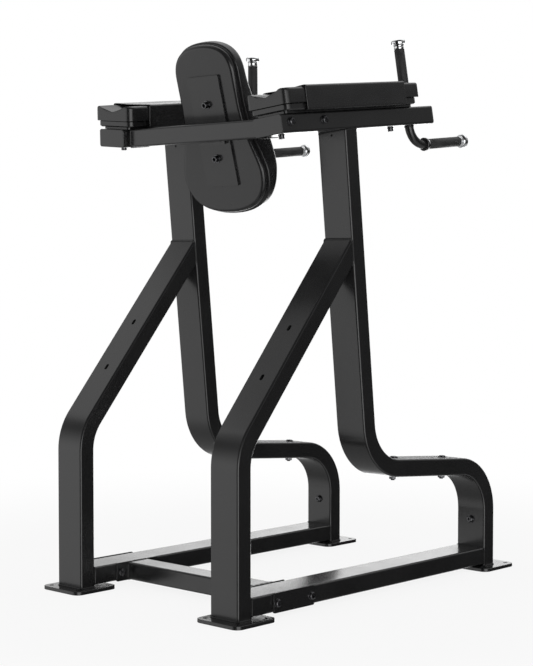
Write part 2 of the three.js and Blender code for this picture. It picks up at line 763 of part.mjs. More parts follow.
// The chrome end cap, along +Y from its seat on the grip.
function endKnob() {
  const shoulder = cap.neckLength;
  const rim = (cap.length + shoulder) / 2;
  return lathe([
    [0, 0],
    [cap.neckRadius, 0],
    [cap.neckRadius, shoulder * knobShares.neck],
    [cap.neckRadius * knobShares.waist, shoulder],
    [cap.rimRadius * knobShares.underRim, rim - shoulder * knobShares.flare],
    [cap.rimRadius, rim],
    [cap.rimRadius * knobShares.overRim, rim + shoulder * knobShares.flare],
    [cap.rimRadius * knobShares.crown, cap.length - shoulder * knobShares.topDrop],
    [0, cap.length],
  ]);
}

const knobShares = {
  neck: 0.75,
  waist: 0.93,
  underRim: 0.88,
  flare: 0.4,
  overRim: 0.9,
  crown: 0.5,
  topDrop: 0.12,
};

function buildHandle(name, group) {
  const topEnd = grip.topEnd;
  const dipEnd = dipGripStart + grip.length;
  const barDrop = -tube.depth / 2 - bar.bend;
  const corners = [
    [barY, topEnd],
    [barY, barDrop],
    [-dipEnd, barDrop],
  ];
  const round = new THREE.Shape().absarc(0, 0, bar.radius, 0, 2 * Math.PI);
  const bentBar = bentTube(round, new BentPath(corners, bar.bend, bar.steps), roundSteps / 2);
  const flangeRear = -dipGripStart + stopFlange.setback;
  const flangePlace = { x: 0, y: 0, z: barDrop };
  const flangeFront = flangeRear - stopFlange.thickness;
  const flange = rod("y", stopFlange.radius, flangeFront, flangeRear, flangePlace, roundSteps);
  place("handle_bar_" + name, join(bentBar, flange), powderCoat, group);

  const upright = gripSleeve().rotateX(Math.PI / 2).translate(0, barY, topEnd - grip.length);
  place("grip_vertical_" + name, upright, rubber, group);
  const dip = gripSleeve().rotateX(Math.PI).translate(0, -dipGripStart, barDrop);
  place("grip_dip_" + name, dip, rubber, group);

  const topKnob = endKnob().rotateX(Math.PI / 2).translate(0, barY, topEnd + seatGap);
  place("grip_cap_vertical_" + name, topKnob, chrome, group);
  const dipKnob = endKnob().rotateX(Math.PI).translate(0, -dipEnd - seatGap, barDrop);
  place("grip_cap_dip_" + name, dipKnob, chrome, group);

  const collar = lathe([
    [bar.radius + seatGap, 0],
    [ring.radius, 0],
    [ring.radius, ring.length],
    [bar.radius + seatGap, ring.length],
    [bar.radius + seatGap, 0],
  ]);
  collar.rotateX(Math.PI).translate(0, flangeFront - seatGap, barDrop);
  place("grip_ring_" + name, collar, chrome, group);
}

// Crossbars

function buildBaseCrossbar() {
  const plateInner = halfSpacing - tube.width / 2 - seatGap - joint.thickness;
  const section = tubeSection(baseCross.depth, baseCross.height, baseCross.corner, baseCross.wall);
  const length = 2 * (plateInner + joint.thickness / 2);
  const crossbar = straight(section, length).rotateZ(Math.PI / 2).rotateY(Math.PI / 2);
  crossbar.translate(-length / 2, joint.y, railHeight);
  const holeRadius = bolt.radius + boltClearance;
  const boltHoles = [-1, 1].map((way) => [(way * jointBoltSpacing) / 2, 0]);
  const ends = sides.map(({ sign }) => {
    const end = plate(joint.length, joint.height, joint.thickness, joint.corner, holeRadius, boltHoles);
    const vent = rod("z", ventRadius, -cutOverrun, joint.thickness + cutOverrun, new THREE.Vector3());
    const vented = cut(end, vent);
    vented.rotateX(Math.PI / 2).rotateZ(Math.PI / 2);
    return vented.translate(sign > 0 ? plateInner : -plateInner - joint.thickness, joint.y, railHeight);
  });
  const vents = sides.map(({ sign }) =>
    rod("x", ventRadius, -cutOverrun, cutOverrun, { x: sign * plateInner, y: joint.y, z: railHeight }),
  );
  place("base_crossbar", cut(join(crossbar, ...ends), ...vents), powderCoat, station);
}

const topCrossY = topCross.rearReach - topCross.depth / 2;
const topCrossFrame = moved(0, armY, armZ)
  .multiply(turned(-uprightLean, 0, 0))
  .multiply(moved(0, topCrossY, -topCross.drop));

function buildTopCrossbar() {
  const section = tubeSection(topCross.depth, topCross.height, topCross.corner, topCross.wall);
  const crossbar = straight(section, sideSpacing).rotateZ(Math.PI / 2).rotateY(Math.PI / 2);
  crossbar.translate(-halfSpacing, 0, 0).applyMatrix4(topCrossFrame);
  const holeRadius = bolt.radius + boltClearance;
  const plateRear = topCross.rearReach;
  const plateCentre = plateRear - topPlate.length / 2;
  const boltHoles = armBoltPlaces.map(([, y]) => [y - plateCentre, topPlate.boltRise]);
  const ends = [];
  const cutters = [];
  for (const { sign } of sides) {
    const arm = moved(sign * halfSpacing, 0, 0).multiply(armFrame(sign));
    const plateOuter = tube.width / 2 + seatGap;
    const { length, height, thickness, corner } = topPlate;
    const end = plate(length, height, thickness, corner, holeRadius, boltHoles);
    end.rotateX(Math.PI / 2).rotateZ(Math.PI / 2);
    const x = sign > 0 ? -plateOuter - thickness : plateOuter;
    ends.push(end.translate(x, plateCentre, 0).applyMatrix4(arm));
    const beyond = moved(-sign * (plateOuter + thickness / 2), 0, 0);
    const outer = arm.clone().multiply(beyond).multiply(turned(0, (sign * Math.PI) / 2, 0));
    cutters.push(halfSpace(outer));
  }
  const bars = join(cut(crossbar, ...cutters), ...ends);
  const holes = sides.map(({ sign }) => {
    const arm = moved(sign * halfSpacing, 0, 0).multiply(armFrame(sign));
    const inner = tube.width / 2 + seatGap;
    const from = sign > 0 ? -inner - topPlate.thickness - cutOverrun : inner - cutOverrun;
    const length = topPlate.thickness + 2 * cutOverrun;
    const place = { x: 0, y: armBoltRear, z: topPlate.boltRise };
    return rod("x", holeRadius, from, from + length, place).applyMatrix4(arm);
  });
  place("top_crossbar", cut(bars, ...holes), powderCoat, station);
}

// Backrest, in a frame on the back of its board: x across, y rearwards, z up along the board

const crossEdge = new THREE.Vector3(0, -topCross.depth / 2, topCross.height / 2).applyMatrix4(topCrossFrame);
const backrestFrame = moved(crossEdge.x, crossEdge.y, crossEdge.z)
  .multiply(turned(-backrestLean, 0, 0))
  .multiply(moved(0, -mountPlate.thickness - 2 * seatGap, 0));

function backrestOutline(inset) {
  const top = backrest.top - inset;
  const bottom = -backrest.bottom + inset;
  const topHalf = backrest.topHalfWidth - inset;
  const bottomHalf = backrest.bottomHalfWidth - inset;
  const topRound = backrest.topRound - inset;
  const bottomRound = backrest.bottomRound - inset;
  const full = backrest.fullnessShare;
  const lowZ = bottom + bottomRound;
  const highZ = top - topRound;
  const waistPoint = backrest.waistHeight - backrest.waistPull;
  const flarePoint = lowZ + backrest.flarePull;
  const shape = new THREE.Shape();
  shape.moveTo(0, bottom);
  shape.bezierCurveTo(full * bottomHalf, bottom, bottomHalf, lowZ - full * bottomRound, bottomHalf, lowZ);
  shape.bezierCurveTo(bottomHalf, flarePoint, topHalf, waistPoint, topHalf, backrest.waistHeight);
  shape.lineTo(topHalf, highZ);
  shape.bezierCurveTo(topHalf, highZ + full * topRound, full * topHalf, top, 0, top);
  shape.bezierCurveTo(-full * topHalf, top, -topHalf, highZ + full * topRound, -topHalf, highZ);
  shape.lineTo(-topHalf, backrest.waistHeight);
  shape.bezierCurveTo(-topHalf, waistPoint, -bottomHalf, flarePoint, -bottomHalf, lowZ);
  shape.bezierCurveTo(-bottomHalf, lowZ - full * bottomRound, -full * bottomHalf, bottom, 0, bottom);
  return shape;
}

const outlineSteps = 8;

// The cushion's skin from its back edge round the side to the front, as [inset share, depth share].
const cushionSideShares = [
  [1, 0],
  [0.35, 0.1],
  [0.05, 0.3],
  [0, 0.45],
  [0.12, 0.65],
];
const cushionEdgeShares = [0.25, 0.5, 0.75, 1];
const cushionFaceShares = [0.85, 0.7, 0.5, 0.3, 0.12];

// The cushion's thickness at its sides, at a height on the backrest.
function sideDepth(height) {
  return backCushion.sides + lumbar.rise * Math.exp(-(((height - lumbar.height) / lumbar.reach) ** 2));
}

function buildBackrest() {
  const group = frameGroup(backrestFrame, station);
  const holeRadius = bolt.radius + boltClearance;
  const plateHoles = [-1, 1].map((way) => [0, (way * backrestBoltSpacing) / 2]);
  const boltPlaces = plateHoles.map(([x, z]) => [x, z - mountPlate.drop]);

  // Mount: a flat plate with a wedge bracket that is welded to the crossbar
  const { width, height, thickness } = mountPlate;
  const mount = plate(width, height, thickness, mountPlate.corner, holeRadius, plateHoles);
  mount.rotateX(Math.PI / 2).translate(0, thickness + seatGap, -mountPlate.drop);
  const block = weld(new THREE.BoxGeometry(mountBracket.width, mountBracket.drop, mountBracket.drop));
  block.translate(0, (thickness + mountBracket.drop) / 2, -mountBracket.drop / 2);
  const toBackrest = backrestFrame.clone().invert();
  const crossFront = toBackrest.multiply(topCrossFrame);
  crossFront.multiply(moved(0, -topCross.depth / 2 - seatGap, 0));
  const wedge = cut(block, halfSpace(crossFront.multiply(turned(-Math.PI / 2, 0, 0))));
  place("backrest_mount", join(mount, wedge), powderCoat, group);

  // Board, with a rounded rear edge and a beveled front one
  const backrestRing = (inset, z) => ringOf(backrestOutline(inset), outlineSteps, z);
  const roundCut = board.rearRound * (1 - Math.SQRT1_2);
  const boardSolid = skin([
    backrestRing(board.inset + board.rearRound, 0),
    backrestRing(board.inset + roundCut, roundCut),
    backrestRing(board.inset, board.rearRound),
    backrestRing(board.inset, board.thickness - board.bevel),
    backrestRing(board.inset + board.bevel, board.thickness),
  ]);
  boardSolid.rotateX(Math.PI / 2);
  const holes = boltPlaces.map(([x, z]) =>
    rod("y", holeRadius, -insertDepth - seatGap, cutOverrun, { x, y: 0, z }),
  );
  place("backrest_board", cut(boardSolid, ...holes), plastic, group);

  // Cushion: drawn-in sides, a round edge and a crowned face, thickest at the small of the back
  const rings = cushionSideShares.map(([insetShare, depthShare]) =>
    backrestRing(insetShare * backCushion.drawIn, 0).map(([x, y]) => [x, y, depthShare * sideDepth(y)]),
  );
  for (const share of cushionEdgeShares) {
    const angle = (share * Math.PI) / 2;
    const ring = backrestRing(backCushion.edge * (1 - Math.cos(angle)), 0);
    const rounding = backCushion.edge * (1 - Math.sin(angle));
    rings.push(ring.map(([x, y]) => [x, y, sideDepth(y) - rounding]));
  }
  const rim = rings[rings.length - 1];
  for (const share of cushionFaceShares) {
    const crown = backCushion.crown * (1 - share ** 2);
    rings.push(rim.map(([x, y]) => [x * share, y * share, sideDepth(y * share) + crown]));
  }
  const cushion = skin(rings).rotateX(Math.PI / 2).translate(0, -board.thickness - seatGap, 0);
  place("backrest_cushion", cushion, vinyl, group);

  // Bolts through the mount into the board
  boltPlaces.forEach(([x, z], i) => {
    const length = thickness + 2 * seatGap + insertDepth;
    const fastener = headedShank(socketHead, length).rotateX(-Math.PI / 2);
    fastener.translate(x, thickness + 2 * seatGap, z);
    place("backrest_bolt_" + (i === 0 ? "lower" : "upper"), fastener, blackSteel, group);
  });
}

for (const side of sides) buildSideFrame(side);
buildBaseCrossbar();
buildTopCrossbar();
buildBackrest();

export default station;
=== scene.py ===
"""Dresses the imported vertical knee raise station: smooth coated tube, upholstery, grips, chrome and bolts.

Metres, +Z up, floor at z = 0. The user faces -Y, so their left is +X.
"""

import math
from collections import namedtuple

import bmesh
import bpy
from bpy.props import FloatProperty, FloatVectorProperty, PointerProperty
from mathutils import Matrix, Vector, kdtree, noise


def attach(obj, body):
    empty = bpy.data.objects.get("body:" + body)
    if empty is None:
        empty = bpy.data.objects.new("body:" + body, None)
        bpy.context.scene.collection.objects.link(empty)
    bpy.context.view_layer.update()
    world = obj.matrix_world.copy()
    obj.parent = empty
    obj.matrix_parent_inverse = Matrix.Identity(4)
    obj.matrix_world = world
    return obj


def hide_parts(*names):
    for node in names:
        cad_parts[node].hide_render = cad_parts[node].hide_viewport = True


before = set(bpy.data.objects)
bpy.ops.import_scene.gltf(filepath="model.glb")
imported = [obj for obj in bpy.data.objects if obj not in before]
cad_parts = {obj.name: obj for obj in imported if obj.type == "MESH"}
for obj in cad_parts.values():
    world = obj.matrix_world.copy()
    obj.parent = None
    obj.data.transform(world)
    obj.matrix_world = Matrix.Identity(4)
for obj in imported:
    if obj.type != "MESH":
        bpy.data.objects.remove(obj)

bl_info = {
    "name": "Vertical Knee Raise Station",
    "version": (1, 0, 0),
    "blender": (4, 5, 0),
    "location": "View3D > Sidebar > Station",
    "description": "Builds the visible pieces of a vertical knee raise station round its packed solids",
    "category": "Object",
}

SIDES = (("left", 1), ("right", -1))


def length(name, description, default):
    """A size in metres."""
    return FloatProperty(name=name, description=description, default=default, unit="LENGTH", precision=4)


def angle(name, description, degrees):
    """An angle, stored in radians."""
    return FloatProperty(name=name, description=description, default=math.radians(degrees), unit="ROTATION")


def number(name, description, default):
    """A plain number."""
    return FloatProperty(name=name, description=description, default=default)


def colour(name, description, default):
    """A linear colour."""
    return FloatVectorProperty(name=name, description=description, default=default, subtype="COLOR", size=3)


# Sizes


class StationFrameSizes(bpy.types.PropertyGroup):
    """The steel frame."""

    gap: length("Seat gap", "Space between pieces that touch", 0.0003)
    tube_width: length("Tube width", "Wide side of the main tube", 0.1)
    tube_depth: length("Tube depth", "Narrow side of the main tube", 0.05)
    tube_corner: length("Tube corner", "Radius of the tube's corners", 0.006)
    bend: length("Bend radius", "Radius of every tube bend, on the centreline", 0.14)
    spacing: length("Side spacing", "Between the centres of the side frames", 0.608)
    front_leg_y: length("Front leg", "Centreline of the front leg", -0.51)
    rear_leg_y: length("Rear leg", "Centreline of the rear leg", 0.54)
    lean: angle("Upright lean", "Rearward lean of the upright", 5.8)
    step_height: length("Step height", "Step centreline over the front leg", 0.308)
    step_slope: angle("Step slope", "Rise of the step towards the upright", 4.5)
    brace_angle: angle("Brace angle", "Brace from the vertical", 39.8)
    brace_height: length("Brace bend", "Height where the brace's line meets the rear leg's", 0.4435)
    foot_thickness: length("Foot plate thickness", "Thickness of a foot plate", 0.01)
    foot_width: length("Foot plate width", "Foot plate across the station", 0.156)
    foot_length: length("Foot plate length", "Foot plate along the station", 0.15)
    foot_shift_x: length("Foot plate shift across", "Outward from the leg's centreline", 0.004)
    foot_shift_y: length("Foot plate shift along", "Forward from the leg's centreline", 0.015)
    foot_corner: length("Foot plate corner", "Corner radius of a foot plate", 0.022)
    foot_hole: length("Anchor hole", "Radius of an anchor hole", 0.0065)
    foot_hole_inset: length("Anchor hole inset", "From the plate's edges to the hole's centre", 0.021)
    rail_gap: length("Rail height", "Floor to the rail's underside", 0.016)
    joint_y: length("Base joint", "Where the rail meets the rear stub", 0.36)
    joint_length: length("Splice length", "Length of the splice plates", 0.156)
    joint_height: length("Splice height", "Height of the splice plates", 0.053)
    joint_thickness: length("Splice thickness", "Thickness of the splice plates", 0.005)
    joint_corner: length("Splice corner", "Corner radius of the splice plates", 0.005)
    joint_spacing: length("Base bolt spacing", "Between the two bolts of a base joint", 0.131)
    cross_depth: length("Crossbar depth", "Both crossbars, front to rear", 0.075)
    cross_height: length("Crossbar height", "Both crossbars, top to bottom", 0.05)
    slot_radius: length("Brace slot radius", "Half the width of a brace slot", 0.0055)
    slot_length: length("Brace slot length", "Between the slot's two round ends", 0.008)
    slot_first: length("First brace slot", "Along the brace from its bend", 0.21)
    slot_spacing: length("Brace slot spacing", "Between the two slots", 0.162)
    vent_radius: length("Vent radius", "Hole near the upright's top", 0.0032)
    vent_drop: length("Vent drop", "Vent below the arm's underside", 0.01)


class StationArmSizes(bpy.types.PropertyGroup):
    """The arms and what joins them."""

    height: length("Arm height", "Along the upright to the arm's centreline", 1.302)
    roll: angle("Arm roll", "Inner edge lower than the outer one", 5.1)
    rear: length("Rear reach", "Arm behind the upright's line", 0.273)
    rear_corner: length("Rear corner", "Radius of the arm's upright rear edges", 0.002)
    front: length("Front reach", "Arm in front of the upright's line", 0.356)
    cap: length("End cap", "Thickness of the front end cap", 0.005)
    bolt_rear: length("Rear side bolt", "Behind the upright's line", 0.2365)
    bolt_spacing: length("Side bolt spacing", "Between the two side bolts", 0.129)
    bolt_height: length("Side bolt height", "Above the arm's centreline", 0.004)
    cross_rear: length("Crossbar reach", "Rear face of the top crossbar", 0.252)
    cross_drop: length("Crossbar drop", "Top crossbar below the arm's centreline", 0.0045)
    plate_length: length("End plate length", "End plate of the top crossbar", 0.16)
    plate_height: length("End plate height", "End plate of the top crossbar", 0.044)
    plate_thickness: length("End plate thickness", "End plate of the top crossbar", 0.005)
    plate_corner: length("End plate corner", "Corner radius of the end plate", 0.005)


class StationBackrestSizes(bpy.types.PropertyGroup):
    """The backrest, measured from the top crossbar's upper front edge."""

    lean: angle("Backrest lean", "Rearward lean of the backrest", 15.4)
    plate_width: length("Mount width", "Mount plate across", 0.12)
    plate_height: length("Mount height", "Mount plate along the backrest", 0.306)
    plate_thickness: length("Mount thickness", "Thickness of the mount plate", 0.006)
    plate_corner: length("Mount corner", "Corner radius of the mount plate", 0.003)
    plate_drop: length("Mount drop", "Mount plate's middle below the edge", 0.0235)
    bracket_width: length("Bracket width", "Wedge bracket across", 0.096)
    bracket_drop: length("Bracket drop", "Wedge bracket below the edge", 0.058)
    bolt_spacing: length("Bolt spacing", "Between the two backrest bolts", 0.15)
    top: length("Top", "Top of the backrest", 0.22)
    bottom: length("Bottom", "Bottom of the backrest", 0.261)
    top_half: length("Half width at the top", "Half the upper width", 0.119)
    bottom_half: length("Half width at the bottom", "Half the lower width", 0.161)
    top_round: length("Top round", "Height of the rounded top", 0.091)
    bottom_round: length("Bottom round", "Height of the rounded bottom", 0.115)
    fullness: number("Fullness", "How full the rounded ends are", 0.66)
    waist_height: length("Waist height", "Where the straight sides end", 0.049)
    waist_pull: length("Waist pull", "Reach of the flare's upper handle", 0.093)
    flare_pull: length("Flare pull", "Reach of the flare's lower handle", 0.037)
    board: length("Board thickness", "Thickness of the rear board", 0.015)
    board_inset: length("Board inset", "Board's edge inside the cushion's", 0.007)
    board_round: length("Board rear edge", "Radius of the board's rear edge", 0.011)
    board_bevel: length("Board bevel", "Bevel of the board's front edge", 0.002)
    cushion: length("Cushion sides", "Thickness of the cushion at its sides", 0.038)
    crown: length("Crown", "Rise of the cushion's face", 0.007)
    draw_in: length("Draw-in", "Cushion's edge pulled in at the board", 0.009)
    edge: length("Cushion edge", "Radius of the cushion's front edge", 0.017)
    lumbar: length("Lumbar rise", "Extra thickness at the small of the back", 0.032)
    lumbar_height: length("Lumbar height", "Middle of the extra thickness", -0.042)
    lumbar_reach: length("Lumbar reach", "Spread of the extra thickness", 0.109)


class StationPadSizes(bpy.types.PropertyGroup):
    """The elbow pads, measured in the arm's frame."""

    rear: length("Rear reach", "Cushion behind the upright's line", 0.269)
    front: length("Front reach", "Cushion in front of the upright's line", 0.28)
    half: length("Half width", "Half the cushion's width", 0.074)
    corner: length("Rear corner", "Radius of the pad's rear vertical corners", 0.018)
    front_corner: length("Front corner", "Radius of the cushion's front vertical corners", 0.009)
    height: length("Height", "Cushion's height at its ridges", 0.041)
    groove: length("Groove depth", "Depth of the groove along the top", 0.016)
    groove_half: length("Groove half width", "From the groove's middle to a ridge", 0.061)
    edge: length("Top edge", "Radius of the cushion's top edges", 0.007)
    board_inset: length("Board inset", "Board's edge inside the cushion's", 0.0055)
    board_height: length("Board height", "Board above its base", 0.017)
    board_chamfer: length("Board chamfer", "Chamfer along the board's lower edge", 0.003)
    base_height: length("Base height", "Inset base under the board", 0.006)
    base_side: length("Base side inset", "Base's sides inside the board's", 0.016)
    base_end: length("Base end inset", "Base's ends inside the board's", 0.0085)
    bolt_rear: length("Rear pad bolt", "Behind the upright's line", 0.226)
    bolt_front: length("Front pad bolt", "Behind the upright's line", -0.224)
    sleeve_rear: length("Sleeve rear reach", "Sleeve behind the upright's line", 0.195)
    sleeve_front: length("Sleeve front reach", "Sleeve in front of the upright's line", 0.215)
    sleeve: length("Sleeve thickness", "Thickness of the wrapped sleeve", 0.0026)
    sleeve_lip: length("Sleeve lip", "Width of the sleeve's lower lips", 0.016)
    sleeve_corner: length("Sleeve corner", "Radius of the sleeve's upper corners", 0.006)
    sleeve_rise: length("Sleeve rise", "Sleeve's lower edge above the arm", 0.0028)
    sleeve_gap: length("Sleeve gap", "Space between the cushion and its sleeve", 0.0004)
    crown: length("Crown", "Rise of the cushion towards its middle", 0.0016)


class StationHandleSizes(bpy.types.PropertyGroup):
    """The handle bars and grips, measured in the arm's frame."""

    bar: length("Bar radius", "Radius of the bent round bar", 0.0125)
    bar_y: length("Bar place", "Upright run, behind the upright's line", -0.309)
    bend: length("Bar bend", "Bend radius on the bar's centreline", 0.054)
    grip: length("Grip radius", "Radius of a grip", 0.0145)
    grip_length: length("Grip length", "Length of a grip", 0.1485)
    grip_top: length("Grip top", "Top of the upright grip", 0.193)
    dip_start: length("Dip grip start", "Dip grip in front of the upright's line", 0.38)
    flange: length("Flange radius", "Radius of the stop flange", 0.019)
    flange_thickness: length("Flange thickness", "Thickness of the stop flange", 0.007)
    flange_setback: length("Flange setback", "From the grip's start to the flange's rear", 0.016)
    ring: length("Ring radius", "Radius of the chrome collar", 0.0155)
    ring_length: length("Ring length", "Length of the chrome collar", 0.008)
    neck: length("Cap neck", "Radius of the cap's neck", 0.014)
    neck_length: length("Cap neck length", "Length of the cap's neck", 0.008)
    rim: length("Cap rim", "Radius of the cap's rim", 0.0205)
    cap_length: length("Cap length", "Length of an end cap", 0.027)


class StationBoltSizes(bpy.types.PropertyGroup):
    """The fasteners."""

    shank: length("Shank", "Shank radius of the large bolts", 0.006)
    washer: length("Washer", "Radius of a washer", 0.012)
    washer_thickness: length("Washer thickness", "Thickness of a washer", 0.002)
    nut_width: length("Nut width", "Across the flats of a nut", 0.019)
    nut_height: length("Nut height", "Height of a nut", 0.01)
    tail: length("Bolt tail", "Bolt past its nut", 0.003)
    small_shank: length("Small shank", "Shank radius of the pad bolts", 0.004)
    small_washer: length("Small washer", "Washer radius of the pad bolts", 0.0095)
    step_first: length("First step bolt", "Along the step from the front leg", 0.1695)
    step_spacing: length("Step bolt spacing", "Between the two step bolts", 0.226)
    leg_height: length("Front leg bolt", "Height of the bolt in the front leg", 0.147)


class StationColours(bpy.types.PropertyGroup):
    """Colours, sheen and light."""

    coat: colour("Powder coat", "Satin coat on the steel", (0.021, 0.021, 0.0215))
    coat_roughness: number("Coat roughness", "Roughness of the powder coat", 0.2)
    vinyl: colour("Vinyl", "Cover of the pads", (0.018, 0.018, 0.0185))
    vinyl_roughness: number("Vinyl roughness", "Roughness of the vinyl", 0.23)
    shell: colour("Shell", "Boards and end caps", (0.021, 0.021, 0.0215))
    shell_roughness: number("Shell roughness", "Roughness of the moulded boards", 0.2)
    rubber: colour("Rubber", "Grip sleeves", (0.036, 0.036, 0.037))
    rubber_roughness: number("Rubber roughness", "Roughness of the grips", 0.5)
    chrome: colour("Chrome", "Caps and collars", (0.94, 0.95, 0.96))
    chrome_roughness: number("Chrome roughness", "Roughness of the chrome", 0.05)
    steel: colour("Black steel", "Bolts and nuts", (0.11, 0.11, 0.115))
    steel_roughness: number("Black steel roughness", "Roughness of the bolts", 0.2)
    floor: colour("Floor", "Pale floor", (0.93, 0.93, 0.93))
    floor_glow: number("Floor glow", "How much of the floor's white doesn't depend on light", 0.88)
    plain: number("Plain light", "Surround that lights the surfaces themselves", 0.55)
    horizon: number("Horizon light", "Mirrored surround at the horizon", 0.96)
    ground: number("Ground light", "Below the horizon, as a share of the horizon's", 0.82)
    floor_light: number("Floor light", "Far below the horizon, as a share of the horizon's", 0.4)
    sky: number("Sky light", "Overhead, as a share of the horizon's", 0.12)
    left: number("Left light", "Added high up on the left", 0.32)
    behind: number("Light behind", "Behind the station, as a share of the horizon's", 3.7)
    line: number("Edge light", "Beside the camera, as a share of the horizon's", 2.4)
    line_high: number("Upper edge light", "The same, higher up", 0.2)
    shade: number("Shade", "Mirrored surround in the dark sector, at the horizon", 0.01)
    shade_high: number("Upper shade", "Mirrored surround in the dark sector, higher up", 0.26)
    shade_low: number("Lower shade", "Mirrored surround in the dark sector, from the floor", 0.4)
    front: number("Front light", "Added high up in front of the station", 0.9)
    flag: number("Flag", "Mirrored surround in the dark sector behind on the left", 0.06)
    gap: number("Gap", "Mirrored surround in the dark gap between the soft boxes", 0.012)
    fill: number("Camera light", "Power of the soft light beside the camera, in watts", 5.0)
    side: number("Side light", "Power of the soft light on the left, in watts", 1.3)


SIZE_GROUPS = {
    "station_frame": StationFrameSizes,
    "station_arm": StationArmSizes,
    "station_backrest": StationBackrestSizes,
    "station_pad": StationPadSizes,
    "station_handle": StationHandleSizes,
    "station_bolt": StationBoltSizes,
    "station_colour": StationColours,
}


# Fine details: in metres, or shares where a comment says so

QUARTER = math.pi / 2
CURVE_STEPS = 16
TINY = 1e-9

# Angles over which an edge stays sharp, in degrees: on hard pieces, collars, turned pieces and soft ones
SHARP = 32
RING_SHARP = 40
TURNED_SHARP = 50
SOFT_SHARP = 60
ROUND_SHARP = 80

# Softened edges and small fits of the hard pieces, and how strongly their flat faces stay flat
FLAT_FACE_WEIGHT = 90
PLATE_EDGE = 0.0008
FOOT_EDGE = 0.0012
MOUNT_EDGE = 0.0004
CAP_EDGE = 0.0018
TURNED_EDGE = 0.0012
SMALLEST_CORNER = 0.0004
REAR_DRAW_IN = 0.0015
BRACKET_TOP = 0.001
HOLE_ROOM = 0.0005

Weld = namedtuple("Weld", "radius off seed")

# Radius of each bead, its middle's distance off the piece that it meets, and where its ripples start
WELDS = {
    "upright": Weld(0.0016, 0.001, 0),
    "foot_front": Weld(0.0024, 0.0008, 2),
    "brace": Weld(0.0024, 0.0008, 0),
    "stub": Weld(0.0022, 0.0004, 3),
    "foot_rear": Weld(0.0024, 0.0008, 5),
    "rail": Weld(0.0022, 0.0006, 7),
    "base_crossbar": Weld(0.0022, 0.0006, 11),
    "top_crossbar": Weld(0.002, 0.0006, 17),
    "handle": Weld(0.0022, 0.0006, 23),
}

# The cloth that swells a cushion, and how its shifts are averaged over the finer surface
CLOTH_VOXEL = 0.006
CLOTH_FRAMES = 20
CLOTH_SETTINGS = {
    "use_pressure": True,
    "uniform_pressure_force": 4.0,
    "quality": 4,
    "tension_stiffness": 30.0,
    "compression_stiffness": 30.0,
    "bending_stiffness": 8.0,
}
SHIFT_NEIGHBOURS = 60
SHIFT_SPREAD = 2.2

# Elbow cushion: the foot is how high its rounded lower edge is. The edge's points are given from the
# cushion's side and underside
PAD_SLACK = 0.0004
PAD_SWELL = 0.0016
PAD_HELD_HEIGHT = 0.009
PAD_HELD_GROOVE = 0.006
PAD_FOOT = 0.006
PAD_LOWER_EDGE = ((0.006, 0), (0.0025, 0), (0.0011, 0.0001), (0.0003, 0.0005), (0, 0.0013), (0, 0.0026))
RIDGE_LAND = 0.0015
RIDGE_SOFT = 0.0008
GROOVE_START = 0.001
GROOVE_END = 0.003
STITCH_HALF = 0.0012
STITCH_RISE = 0.0006

# Elbow cushion's ends: the rings beside an end and those that close its face are shares
PAD_RING_STEP = 0.007
PAD_END_EDGE = 0.0022
PAD_END_RINGS = (0.0, 0.12, 0.45, 1.0)
PAD_END_SHARES = (0.985, 0.95, 0.86, 0.7, 0.5, 0.25)
PAD_END_MIDDLE = 0.35

# Elbow board
BOARD_SOFT = 0.0004
BOARD_BEVEL = 0.002
BOARD_BEVEL_DROP = 0.0018

# Sleeve: the grain is its ripple's waves per metre, across and along, and how far apart the two sleeves'
# ripples are. The depths say how near the top or the side a point counts as part of it
SLEEVE_ROWS = 60
SLEEVE_FOLD = 0.003
SLEEVE_HEM = 0.0005
SLEEVE_PULL = 0.0003
SLEEVE_DENT = 0.0016
SLEEVE_DENT_HALF = 0.06
SLEEVE_RIPPLE = 0.0007
SLEEVE_GRAIN = 22
SLEEVE_GRAIN_ALONG = 9
SLEEVE_GRAIN_APART = 7
SLEEVE_TOP_DEEP = 0.001
SLEEVE_SIDE_DEEP = 0.002
SLEEVE_SHOULDER = 0.003

# Grip: the rings' starts from its foot and from its end
GRIP_RING_DEPTH = 0.0005
GRIP_RING_WIDTH = 0.0018
GRIP_RINGS = (0.004, 0.0075)
GRIP_LAST_RINGS = (0.0095, 0.006)

# Backrest cushion, as shares: the rings that close its rear face, those up its drawn-in side
# (of the draw-in and of the depth), and those that close its front
BACK_SLACK = 0.0012
BACK_SWELL = 0.003
BACK_HELD_HEIGHT = 0.011
BACK_LEDGE = 0.001
BACK_CLOSING = (0.3, 0.55, 0.75, 0.88, 0.96)
BACK_SIDE = (
    (0.7, 0.025),
    (0.4, 0.05),
    (0.2, 0.07),
    (0.07, 0.1),
    (0.01, 0.15),
    (0.0, 0.22),
    (0.0, 0.35),
    (0.0, 0.5),
)
BACK_FACE = (0.97, 0.93, 0.88, 0.82, 0.75, 0.67, 0.58, 0.48, 0.38, 0.28, 0.18, 0.08)


# Places


def move(x, y, z):
    """A place moved along the axes."""
    return Matrix.Translation((x, y, z))


def turn(axis, radians):
    """A place turned about an axis."""
    return Matrix.Rotation(radians, 4, axis)


def side_place(scene, sign):
    """The middle of a side frame."""
    return move(sign * scene.station_frame.spacing / 2, 0, 0)


def upright_place(scene):
    """The upright's line, which meets the floor at the origin, with z along it."""
    return turn("X", -scene.station_frame.lean)


def arm_place(scene, sign):
    """The arm's frame: x across, y rearwards along the arm, z up."""
    lean = scene.station_frame.lean
    height = scene.station_arm.height
    point = move(0, height * math.sin(lean), height * math.cos(lean))
    return side_place(scene, sign) @ point @ turn("X", -lean) @ turn("Y", -sign * scene.station_arm.roll)


